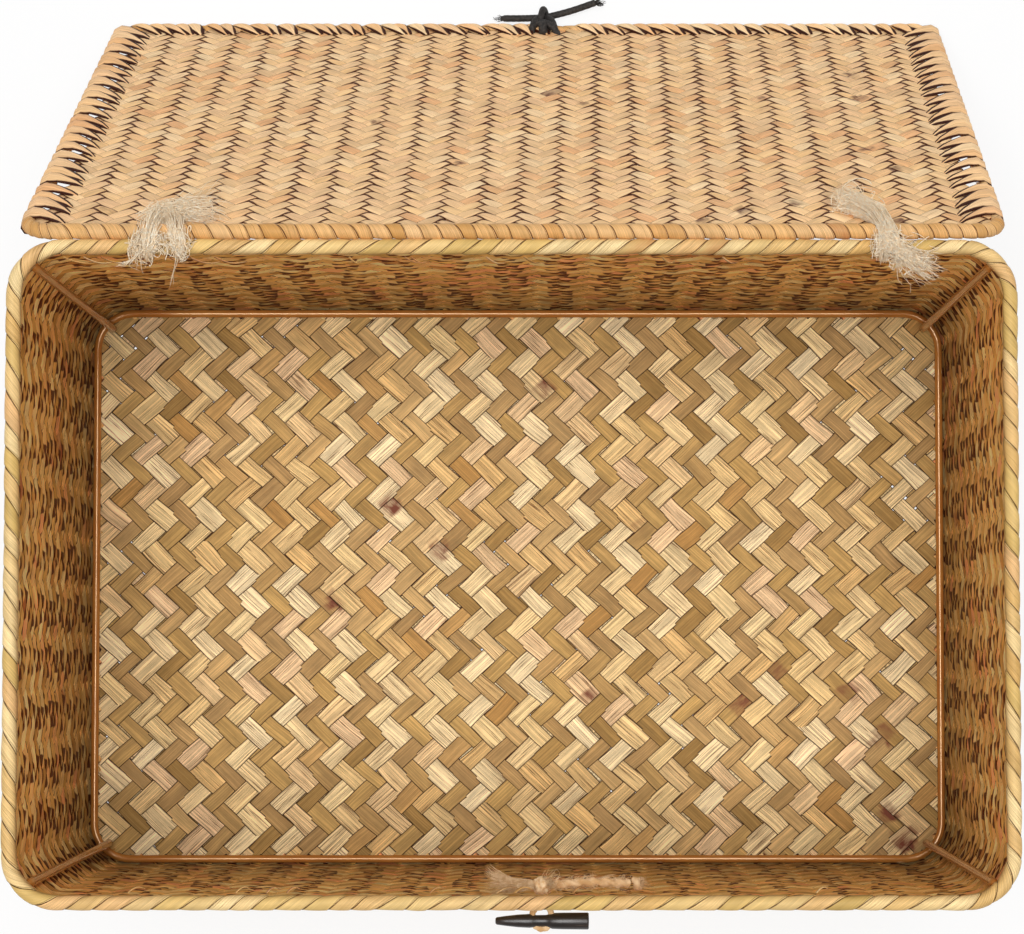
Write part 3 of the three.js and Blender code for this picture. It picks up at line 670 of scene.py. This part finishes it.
def tubeAlong(bm, points, radiusAt, sides=8, shape=None):
    # A tube of a grid rolled round a line of points. radiusAt takes 0 to 1 along it, and an end with
    # no radius closes to a point. shape can change the radius by angle and distance.
    steps = len(points) - 1
    frames = []
    up = Vector((0, 0, 1))
    for index, point in enumerate(points):
        ahead = points[min(index + 1, steps)] - points[max(index - 1, 0)]
        ahead.normalize()
        sideways = up - ahead * up.dot(ahead)
        if sideways.length < 1e-4:
            sideways = ahead.orthogonal()
        sideways.normalize()
        up = sideways
        frames.append((point, sideways, ahead.cross(sideways)))
    for vert, part, wayRound in gridVerts(bm, steps, sides):
        index = round(part * steps)
        angle = (wayRound + 1) / 2 * tau
        point, one, two = frames[index]
        radius = radiusAt(index / steps)
        if shape:
            radius *= shape(angle, index)
        vert.co = point + (one * math.cos(angle) + two * math.sin(angle)) * radius


def closedEnds(radius, taper=0):
    # The radius along a fibre or cord whose ends close to a point
    return lambda part: radius * (1 - taper * part) if 0 < part < 1 else 0


def smoothLine(points, steps):
    # Evenly divided smooth line through points, each an (x, y, z) in millimetres
    knots = [Vector(point) * mm for point in points]
    result = []
    spans = len(knots) - 1
    for step in range(steps + 1):
        place = step / steps * spans
        index = min(spans - 1, int(place))
        part = place - index
        before = knots[max(0, index - 1)]
        first = knots[index]
        second = knots[index + 1]
        after = knots[min(spans, index + 2)]
        result.append(0.5 * (
            2 * first + (second - before) * part
            + (2 * before - 5 * first + 4 * second - after) * part ** 2
            + (3 * first - before - 3 * second + after) * part ** 3))
    return result


def buildRods():
    ring = [size - basket["fold"] for size in basket["base"]]
    bm = bmesh.new()
    for vert, part, wayRound in gridVerts(bm, 320, 18):
        angle = (wayRound + 1) / 2 * tau
        point = roundPoint(part, ring, basket["rod"] * math.cos(angle))
        vert.co = (*point, basket["fold"] + basket["rod"] * math.sin(angle))
    finishPiece("floor_ring", bm, rodFinish, "basket", ["base_ring"])
    for name in ("front_left", "front_right", "back_left", "back_right"):
        low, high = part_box("corner_post_" + name)
        sideX = 1 if "right" in name else -1
        sideY = 1 if "back" in name else -1
        near = Vector((basket["postTop"][0] * sideX, basket["postTop"][1] * sideY, high[2] + 3 * mm))
        foot = Vector((
            (high[0] if sideX > 0 else low[0]) - sideX * basket["rod"],
            (high[1] if sideY > 0 else low[1]) - sideY * basket["rod"],
            low[2] + 0.5 * mm,
        ))
        bm = bmesh.new()
        line = [foot + (near - foot) * step / 40 for step in range(41)]
        tubeAlong(bm, line, closedEnds(basket["rod"]), 16)
        finishPiece("post_" + name, bm, rodFinish, "basket", ["corner_post_" + name])


buildRods()
print("rods made")


# The toggle is turned from horn, and its twine goes round it.
toggle = {
    "centre": Vector((0.012, -0.137676, 0.2101)),
    "profile": (  # radius and distance from the middle, in millimetres, thin end first
        (0.0, -18.6), (1.0, -18.5), (1.45, -18.0), (2.0, -14.5), (2.5, -9.5), (2.75, -5.0), (2.6, -3.6),
        (2.35, -2.4), (2.35, 1.6), (2.7, 2.8), (3.15, 4.0), (3.35, 8.0), (3.35, 17.9), (3.25, 18.3),
        (3.0, 18.5), (0.0, 18.6)),
}


def buildToggle():
    # The profile spun round, then made slightly uneven
    bm = bmesh.new()
    ring = [bm.verts.new((along * mm, radius * mm, 0)) for radius, along in toggle["profile"]]
    edges = [bm.edges.new(pair) for pair in zip(ring, ring[1:])]
    bmesh.ops.spin(bm, geom=ring + edges, cent=(0, 0, 0), axis=(1, 0, 0), angle=tau, steps=28, use_merge=True)
    closeUp(bm)
    for vert in bm.verts:
        wobble = noise.noise(vert.co * 180) * 0.12 * mm
        vert.co += Vector((0, vert.co.y, vert.co.z)).normalized() * wobble
    bmesh.ops.translate(bm, verts=bm.verts, vec=toggle["centre"])
    finishPiece("horn_toggle", bm, hornFinish, "toggle", ["toggle"])


buildToggle()


def ropeShape(strands, pitch, depth):
    return lambda angle, index: 1 + depth * math.cos(strands * (angle - index / pitch * tau / strands))


def drawCurl(dice, rates, sizes):
    # How far a fibre wavers off its line, for 0 to 1 along it
    waves = [(dice.uniform(*rates), dice.uniform(0, tau), dice.uniform(*sizes)) for _ in range(3)]
    return lambda part: Vector([size * math.sin(rate * part * tau + start) for rate, start, size in waves])


def brush(bm, dice, route, look):
    # Loose fibres that follow a route, given in millimetres, and spread towards its end
    spans = 24
    line = smoothLine(route, spans)
    for _ in range(look["count"]):
        begin = dice.uniform(0, look["late"])
        finish = dice.uniform(look["short"], 1.0)
        turn = dice.uniform(0, tau)
        radius = math.sqrt(dice.random())
        aside = Vector((math.cos(turn), math.sin(turn), dice.uniform(-0.6, 0.6)))
        curl = drawCurl(dice, (0.5, 2.2), (-1, 1))
        points = []
        for step in range(9):
            part = begin + (finish - begin) * step / 8
            place = min(spans - 0.001, part * spans)
            point = line[int(place)].lerp(line[int(place) + 1], place % 1)
            spread = (look["root"] + look["spread"] * part ** 1.4) * radius * mm
            points.append(point + aside * spread + curl(part) * look["curl"] * (0.25 + part) * mm)
        tubeAlong(bm, points, closedEnds(look["thick"] * dice.uniform(0.6, 1.3) * mm, 0.5), 3)


def tangle(bm, dice, middle, reach, count):
    # Fibres curled up in a loose lump round a middle, in millimetres
    for _ in range(count):
        start = Vector([dice.gauss(0, 0.45) for _ in range(3)])
        drift = Vector([dice.uniform(-0.7, 0.7) for _ in range(3)])
        curl = drawCurl(dice, (0.3, 1.1), (0.15, 0.5))
        points = []
        for step in range(11):
            place = start + drift * (step / 10 - 0.5) + curl(step / 10)
            points.append((Vector(middle) + Vector(reach) * place) * mm)
        tubeAlong(bm, points, closedEnds(0.16 * dice.uniform(0.6, 1.3) * mm), 3)


def lidSpot(x, down, height):
    # Millimetres on the lid: across, down from the hinge edge's middle, and out of its inner face
    spot = placeOnLid(0, down * mm - lidHalfY, height * mm) / mm
    return (x, spot.y, spot.z)


straight = {"count": 150, "root": 1.6, "spread": 3.5, "late": 0.15, "short": 0.8, "curl": 0.5, "thick": 0.17}
fluffy = dict(straight, root=2.4, spread=5, late=0.5, short=0.55, curl=2.6, thick=0.16)
leftRoutes = (
    ([(-143, 125.4, 219), (-143.8, 125.2, 226), (-143.4, 129.2, 231.2), (-142.5, 135.5, 231.2),
      lidSpot(-141, 6, 4), lidSpot(-136, 11, 4.4), lidSpot(-129, 13, 3.6)],
     dict(straight, count=110, spread=4, curl=1.8)),
    ([(-130.5, 125.2, 220), (-131, 125.4, 227), (-131.5, 129.5, 231.2), (-132.5, 136, 231),
      lidSpot(-135, 6, 4), lidSpot(-139, 10, 4.6), lidSpot(-145, 12, 3.4)],
     dict(straight, count=90, spread=4, curl=2)),
    ([lidSpot(-148, 4, 3), lidSpot(-141, 8, 4.4), lidSpot(-132, 10, 4.8), lidSpot(-122, 9, 4.2),
      lidSpot(-116, 10, 2.5)], dict(fluffy, count=130)),
    ([lidSpot(-139, 9, 3.4), lidSpot(-133, 18, 3.8), lidSpot(-125, 30, 3.2), lidSpot(-115, 40, 2.6)],
     dict(fluffy, count=45, spread=8, late=0.15, thick=0.13)),
    ([lidSpot(-146, 3, 4), (-147, 131, 231.4), (-147.5, 126.5, 229.5), (-146, 123.5, 226.5)],
     dict(fluffy, count=80, spread=4)),
    ([(-141, 131, 231.6), (-147, 126, 230.6), (-152, 122.5, 228), (-158, 121.5, 226.5)],
     dict(straight, count=7, root=0.3, spread=0.8, thick=0.24)),
    ([(-132, 127, 231), (-132.5, 123, 228), (-135, 118.5, 219), (-137.5, 114.5, 208)],
     dict(straight, count=5, root=0.3, spread=0.7, thick=0.2)),
)
leftLumps = (
    (lidSpot(-139, 9, 4.6), (9, 5, 3), 60),
    (lidSpot(-128, 9, 4), (9, 4, 3), 60),
    ((-142, 130, 231.8), (6.5, 6, 2.4), 60),
    ((-132, 129.5, 231.8), (6, 5.5, 2.4), 60),
)
rightRoutes = (
    ([(150, 127.5, 231.5), (149, 133, 232.2), lidSpot(146, 4, 4.6), lidSpot(141, 12, 5),
      lidSpot(135, 21, 4.6), lidSpot(129.5, 28, 3.6)],
     dict(straight, count=260, root=3.0, spread=3.0, short=0.86, curl=1.0)),
    ([(147, 125.2, 220), (146.5, 125.3, 227), (146.5, 129, 231.4), (147, 134, 231.8), (147.5, 137, 229.5)],
     dict(straight, count=100, root=2.4, spread=2.5, curl=1.2)),
    ([(145, 134, 231.8), (149, 130, 233), (153, 127.5, 232.4), (156, 124.5, 230)],
     dict(fluffy, count=110, root=3.0, spread=3.0)),
    ([(149.5, 129.5, 232.6), (154, 126, 231.6), (160, 122.6, 229.8), (167, 119.5, 227.6)],
     dict(straight, count=140, root=2.2, spread=4.6, curl=1.6)),
    ([(150, 127, 231), (153, 122, 228.5), (157, 117.5, 224.5), (162, 115.5, 220)],
     dict(straight, count=14, root=0.8, spread=4, curl=2.4, thick=0.16)),
)
rightLumps = (
    (lidSpot(137, 18, 4.4), (8, 6, 2.4), 50),
    ((148.5, 130, 232.4), (6, 6, 2.4), 80),
    ((158, 125, 230), (8, 5, 2.2), 50),
    ((153, 122.5, 227), (4, 3, 3), 30),
)


def buildHingeTies():
    for name, routes, lumps, node, middle in (
        ("left_lashing", leftRoutes, leftLumps, "hinge_tie_left", -0.138),
        ("right_lashing", rightRoutes, rightLumps, "hinge_tie_right", 0.146),
    ):
        dice = random.Random(name)
        bm = bmesh.new()
        for route, look in routes:
            brush(bm, dice, route, look)
        for lump in lumps:
            tangle(bm, dice, *lump)
        lashing = finishPiece(name, bm, juteFinish, None, [node])
        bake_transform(lashing)


buildHingeTies()
print("hinge lashings made")


def mirrored(points):
    # A line, in millimetres, that goes back as its own mirror image in x = 12, the toggle's middle
    return points + [(24 - x, y, z) for x, y, z in points[-2::-1]]


# The twine goes through the wall round the toggle, and is knotted inside.
stitch = mirrored([
    (10.5, -128.1, 210.1), (10.5, -130.6, 210.1), (8.4, -134.3, 210.1), (8.4, -137.2, 210.1),
    (8.9, -139.0, 210.1), (10.2, -140.3, 210.1), (12.0, -140.8, 210.1)])
twineTail = [
    (16.7, -123.23, 210.4), (21, -122.93, 210.6), (28, -122.43, 210.1), (35, -122.33, 208.9),
    (42, -122.93, 207.3), (47, -123.33, 206.3)]
twineRadius = 1.6 * mm


def knotTurns(middle, radii, turns, across):
    # Turns of twine or cord wound over each other round a middle
    points = []
    for step in range(25 * turns + 1):
        angle = step / 25 * tau
        lean = 0.5 * math.sin(angle / turns + 0.6)
        points.append((
            middle[0] + across * (step / (25 * turns) - 0.5) + radii[0] * 0.45 * math.sin(angle) * lean,
            middle[1] + radii[1] * math.cos(angle),
            middle[2] + radii[2] * math.sin(angle),
        ))
    return points


def buildTwine():
    dice = random.Random(5)
    bm = bmesh.new()
    tubeAlong(bm, smoothLine(stitch, 90), lambda part: 1.2 * mm, 12, ropeShape(3, 9, 0.14))
    finishPiece("toggle_stitch", bm, twineFinish, "toggle", ["toggle_twine"])

    bm = bmesh.new()
    for middle, radii, turns, across in (
        ((12.2, -124, 210.1), (4, 1.9, 1.9), 3, 5.6),
        ((12.0, -123.6, 210.4), (4, 2.5, 2.4), 1, 1.5),
    ):
        coil = smoothLine(knotTurns(middle, radii, turns, across), 40 * turns)
        tubeAlong(bm, coil, lambda part: 1.3 * mm, 10, ropeShape(3, 8, 0.14))
    brush(bm, dice, [(13, -123.6, 210.4), (6, -123.2, 211.2), (-1, -123.4, 211.6), (-9, -124.4, 211.4)],
          dict(straight, count=120, root=1.2, spread=3.8, curl=1.1, thick=0.12))
    brush(bm, dice, [(10, -123.6, 210.8), (1, -121.8, 211.8), (-6, -119.6, 211.6), (-9, -117, 211)],
          dict(straight, count=60, root=0.8, spread=2.2, curl=0.8, thick=0.12))
    brush(bm, dice, [(9, -123.4, 211), (12, -122.8, 212.4), (15.5, -122, 212), (19, -120.6, 211.6)],
          dict(fluffy, count=60, root=1.4, spread=3, thick=0.11))
    finishPiece("toggle_knot_fibres", bm, knotFinish, "basket", ["toggle_knot"])

    line = smoothLine(twineTail, 110)
    bm = bmesh.new()
    tubeAlong(bm, line, closedEnds(twineRadius), 12, ropeShape(2, 16, 0.22))
    tail = finishPiece("twine_tail", bm, twineFinish, "basket", ["toggle_knot_tail"])

    bm = bmesh.new()
    for turns, radius in ((2, 1.4), (1, 1.7)):
        coil = smoothLine(knotTurns((50.1, -123.3, 205.9), (3, radius, radius), turns, 3.0), 40 * turns)
        tubeAlong(bm, coil, lambda part: 1.1 * mm, 10, ropeShape(2, 9, 0.12))
    brush(bm, dice, [(49, -123.3, 206), (51, -123.2, 206), (53.5, -123, 205.8)],
          dict(straight, count=40, root=1.5, spread=1.5, thick=0.12))
    tip = finishPiece("twine_tail_knot", bm, twineFinish, "basket", ["toggle_knot_end"])

    bm = bmesh.new()
    for start in range(0, 100, 20):
        near = [tuple(point / mm) for point in line[start:start + 26:5]]
        brush(bm, dice, near, dict(fluffy, count=60, root=1.7, spread=2.2, curl=1.8, thick=0.1))
    fuzz = finishPiece("twine_tail_fuzz", bm, knotFinish, "basket", ())


buildTwine()
print("toggle twine made")


# Black cord: a knot on the lid's free edge with two short ends, and the loop that takes the toggle.
cordRadius = 1.6 * mm
closureLoop = mirrored([
    (17.5, 258.32, 7.85), (17.5, 257.1, 10.59), (17.5, 253.75, 18.13), (17.5, 251.62, 20.46),
    (17.5, 248.01, 19.95), (17.7, 242.9, 17.68), (18, 239.02, 14.09), (18.3, 235.23, 10.55),
    (18.8, 230.26, 6.72), (18.8, 225.68, 4.46), (18.28, 223.3, 3.41), (16.81, 221.29, 2.51),
    (14.6, 219.94, 1.91), (12, 219.47, 1.7)])


def braidShape(angle, index):
    return 1 + 0.05 * math.cos(4 * angle + index * 0.8) * math.cos(4 * angle - index * 0.8)


def cutEnd(blunt):
    # The radius of a cord that is cut off past the share blunt of its length
    return lambda part: cordRadius * (1 if 0 < part < blunt else 0.75 * (part < 1))


cutFibres = dict(straight, count=16, root=0.7, spread=0.7, thick=0.2)


def buildClosureCord():
    dice = random.Random(8)
    line = [Vector(point) * mm for point in closureLoop]
    fine = []
    for first, second in zip(line, line[1:]):
        pieces = max(1, round((second - first).length / (1.2 * mm)))
        fine += [first.lerp(second, step / pieces) for step in range(pieces)]
    fine.append(line[-1])
    bm = bmesh.new()
    tubeAlong(bm, fine, closedEnds(cordRadius), 16, braidShape)
    loop = finishPiece("closure_cord_loop", bm, cordFinish, "loop", ["closure_loop"])

    strands = [[(12 + sideX * aside, y, z) for aside, y, z in (
        (5.5, 259.96, 8.82), (5.5, 262.63, 10.4), (5.5, 264.01, 11.21), (5.1, 265.87, 11.39),
        (4.2, 268.38, 10.1), (2.9, 270.26, 7.52), (0.8, 271.85, 3.6))] for sideX in (-1, 1)]
    bm = bmesh.new()
    for route, steps, radiusAt in (
        (strands[0], 40, closedEnds(cordRadius)),
        (strands[1], 40, closedEnds(cordRadius)),
        ([(14, 272.2, 3.7), (9, 271.6, 3.7), (1.5, 271.4, 3.5), (-8.6, 271.43, 3.35)], 50, cutEnd(0.94)),
        ([(10, 271.5, 3.6), (15, 272.3, 3.7), (25.5, 275.08, 3.65), (37.4, 279.2, 3.7)], 50, cutEnd(0.97)),
        ([(10.2, 266.6, 7.6), (10.4, 268.4, 8.4), (10.9, 271.6, 8.3), (11.6, 274.6, 6.6), (12.2, 275.6, 3.4),
          (12.9, 274.3, 0.9), (13.5, 271, 0.6), (14.1, 268, 2.6), (14.4, 266.4, 5.2)], 70,
         closedEnds(cordRadius)),
        (knotTurns((12.2, 264.6, 11.6), (3, 2.5, 2.5), 2, 4.0), 50, closedEnds(cordRadius)),
        ([(6.6, 265.2, 10.6), (9, 267.2, 11.8), (13, 267.4, 12), (17, 264.6, 12.4), (19.4, 260.6, 11.4)], 50,
         closedEnds(cordRadius)),
    ):
        tubeAlong(bm, smoothLine(route, steps), radiusAt, 14, braidShape)
    for route, look in (
        ([(-7.6, 271.43, 3.35), (-9, 271.5, 3.35), (-10.6, 271.8, 3.3)],
         dict(straight, count=26, root=1.3, spread=0.9, thick=0.16)),
        ([(36.4, 278.8, 3.7), (38.6, 280.4, 3.8), (41.0, 282.8, 3.9)], cutFibres),
        ([(36.4, 278.8, 3.7), (38.8, 279.2, 3.7), (40.6, 279.5, 3.6)], dict(cutFibres, root=0.9, spread=0.9)),
        ([(36.4, 278.8, 3.7), (38.6, 277.9, 3.7), (40.4, 277.7, 3.5)], cutFibres),
    ):
        brush(bm, dice, route, look)
    finishPiece("closure_cord_knot", bm, cordFinish, "lid", ["closure_knot"])


buildClosureCord()
print("closure cord made")


# Strips of the lid's plait folded round its side and free edges
foldedStrips = dict(
    # first, pitch and count are along the edge; path holds distance in from the edge rod, along the
    # edge, out of the face, and half width, all in millimetres
    side=dict(first=14, pitch=9.3, count=26, path=(
        (2.0, -1.6, -2.9, 4.4), (-1.6, -1.0, -2.6, 4.7), (-3.0, -0.4, -0.6, 4.8), (-2.4, 0.3, 1.9, 4.9),
        (0.6, 1.2, 3.3, 4.8), (4.5, 1.2, 2.8, 4.2), (8.5, -0.6, 1.9, 3.4), (12.5, -3.4, 1.2, 2.4),
        (15.5, -6.4, 0.5, 1.2))),
    free=dict(first=5, pitch=7.1, count=54, path=(
        (2.0, -3.0, -2.9, 3.4), (-1.6, -2.0, -2.7, 3.5), (-3.1, -0.6, -0.6, 3.6), (-2.5, 0.8, 2.0, 3.6),
        (0.4, 3.2, 3.2, 3.6), (3.4, 5.6, 2.6, 3.3), (6.6, 8.0, 1.7, 2.8), (9.6, 10.2, 0.9, 1.6))),
)
unevenPitch = 9.3 * mm
cordSpace = (6.5 * mm, 19.5 * mm)  # no folded strip starts here on the free edge, where the cord's knot is
besideCord = (21 * mm, 4.4 * mm)  # one that starts between there and the first is moved on by the second


def buildFoldedStrips():
    dice = random.Random(21)
    bm = bmesh.new()
    at, tint, shade = stripLayers(bm)
    for edge, side, begin in (("side", -1, 0), ("side", 1, 0), ("free", 1, -lidHalfX)):
        plan = foldedStrips[edge]
        path = [Vector(point) for point in plan["path"]]
        for count in range(plan["count"]):
            start = begin + (plan["first"] + plan["pitch"] * count) * mm
            start += dice.uniform(-0.2, 0.2) * unevenPitch
            wide = dice.uniform(0.75, 1.12)
            slant = dice.uniform(0.7, 1.4)
            tone = dice.random()
            number = dice.random()
            if edge == "free" and cordSpace[0] < start < cordSpace[1]:
                continue
            if edge == "free" and cordSpace[1] <= start < besideCord[0]:
                start += besideCord[1]
            for vert, share, across in gridVerts(bm, 24, 6):
                part = share * (len(path) - 1)
                index = min(len(path) - 2, int(part))
                inward, aside, out, half = path[index].lerp(path[index + 1], part - index)
                inner = ease(part, 4, len(path) - 1)
                height = out - 0.9 * across * across * (1 - inner) + 0.35 * across
                along = start + (aside * slant + half * wide * across) * mm
                if edge == "side":
                    spot = (side * (lidHalfX - inward * mm), along - lidHalfY)
                else:
                    spot = (along, lidHalfY - inward * mm)
                vert.co = placeOnLid(*spot, height * mm)
                vert[at] = (part * 3 * mm, across, number)
                vert[tint] = (0, tone, 0)
                # painted shade: the dark lens widens towards the inner end, where the strip goes into the
                # plait
                vert[shade] = (inner, 0, 0)
    finishPiece("lid_folded_strips", bm, looseWrapMaterial, "lid", (), 0.35 * mm)


buildFoldedStrips()
print("lid edge strips made")


# Strip ends left by hand work under the rim
def buildStubEnds():
    dice = random.Random(44)
    bm = bmesh.new()
    at, tint, _ = stripLayers(bm)
    spots = [(-0.006, -1, 9), (0.001, -1, 7), (-0.128, 1, 12), (-0.118, 1, 14), (-0.136, 1, 10),
             (-0.170, 1, 12), (-0.178, 1, 16), (-0.163, 1, 13)]
    spots += [(dice.uniform(-0.175, 0.175), dice.choice((-1, 1)), dice.uniform(5, 10)) for _ in range(16)]
    for x, side, length in spots:
        half = dice.uniform(0.5, 1.1) * mm
        lean = dice.uniform(-0.9, 0.9)
        sink = dice.uniform(2, 6) * mm
        tone = dice.random()
        inner = (basket["rim"][1] - basket["rimRadius"] - 0.2 * mm) * side
        for vert, part, across in gridVerts(bm, 7, 2):
            along = part * length * mm
            vert.co = Vector((
                x + along * math.cos(lean * 0.6) + across * half * 0.3,
                inner - side * (0.6 + 2.2 * math.sin(part * 2.6)) * mm,
                basket["rimZ"] - 2.5 * mm - sink * part * part + across * half * (1 - 0.6 * part),
            ))
            vert[at] = (along, 0, tone)
            vert[tint] = (0, tone, 0.75 if tone > 0.4 else 0.3)
    finishPiece("rim_strip_ends", bm, wrapMaterial, "basket", (), 0.25 * mm)


buildStubEnds()
print("strip ends made")


def buildStudio():
    # Paper that looks plain white and still throws its light back softly
    paperMaterial, tree, shader = newMaterial(
        "white studio paper", {"Roughness": 0.9, "Base Color": linear("#F4F4F4")})
    path = addNode(tree, "ShaderNodeLightPath").node.outputs
    seen = addMath(tree, "MAXIMUM", path["Is Camera Ray"], path["Is Glossy Ray"])
    seen = addMath(tree, "MAXIMUM", seen, path["Is Transmission Ray"])
    glow = addNode(tree, "ShaderNodeEmission", {"Color": (1, 1, 1, 1), "Strength": 1.0})
    mix = addNode(tree, "ShaderNodeMixShader",
                  {0: addMath(tree, "MULTIPLY", seen, 0.8), 1: shader.outputs[0], 2: glow})
    tree.links.new(mix, tree.nodes["Material Output"].inputs["Surface"])
    bm = bmesh.new()
    bmesh.ops.create_grid(bm, x_segments=1, y_segments=1, size=8)
    paper = finishPiece("studio_floor", bm, paperMaterial, smooth=False)
    for vert in paper.data.vertices:
        vert.co.z = min(0, cadBounds[0][2]) - 0.3 * mm

    world = bpy.data.worlds.new("studio air")
    scene.world = world
    world.use_nodes = True
    tree = world.node_tree
    background = tree.nodes["Background"]
    cameraRay = addNode(tree, "ShaderNodeLightPath", out="Is Camera Ray")
    background.inputs["Color"].default_value = (1, 1, 1, 1)
    tree.links.new(addRange(tree, cameraRay, 0, 1, 0.3, 1.0), background.inputs["Strength"])

    lamps = (
        ("key softbox", (-0.12, -0.03, 3.4), 1.8, 95),
        ("back softbox", (0.7, 1.9, 2.2), 1.6, 5),
    )
    for name, place, size, power in lamps:
        data = setAll(bpy.data.lights.new(name, "AREA"), size=size, energy=power)
        lamp = bpy.data.objects.new(name, data)
        lamp.location = place
        lamp.rotation_euler = (Vector((0, 0, 0.1)) - Vector(place)).to_track_quat("-Z", "Y").to_euler()
        scene.collection.objects.link(lamp)

    camera = setAll(bpy.data.cameras.new("photo camera"), lens=96.8, sensor_width=36,
                    shift_x=-0.0368, shift_y=0.0405, clip_end=20)
    eye = bpy.data.objects.new("photo camera", camera)
    eye.location = (0.0150, -0.0277, 1.3096)
    eye.rotation_euler = (0.049, 0, 0)
    scene.collection.objects.link(eye)
    scene.camera = eye


buildStudio()
scene.view_settings.view_transform = "Standard"
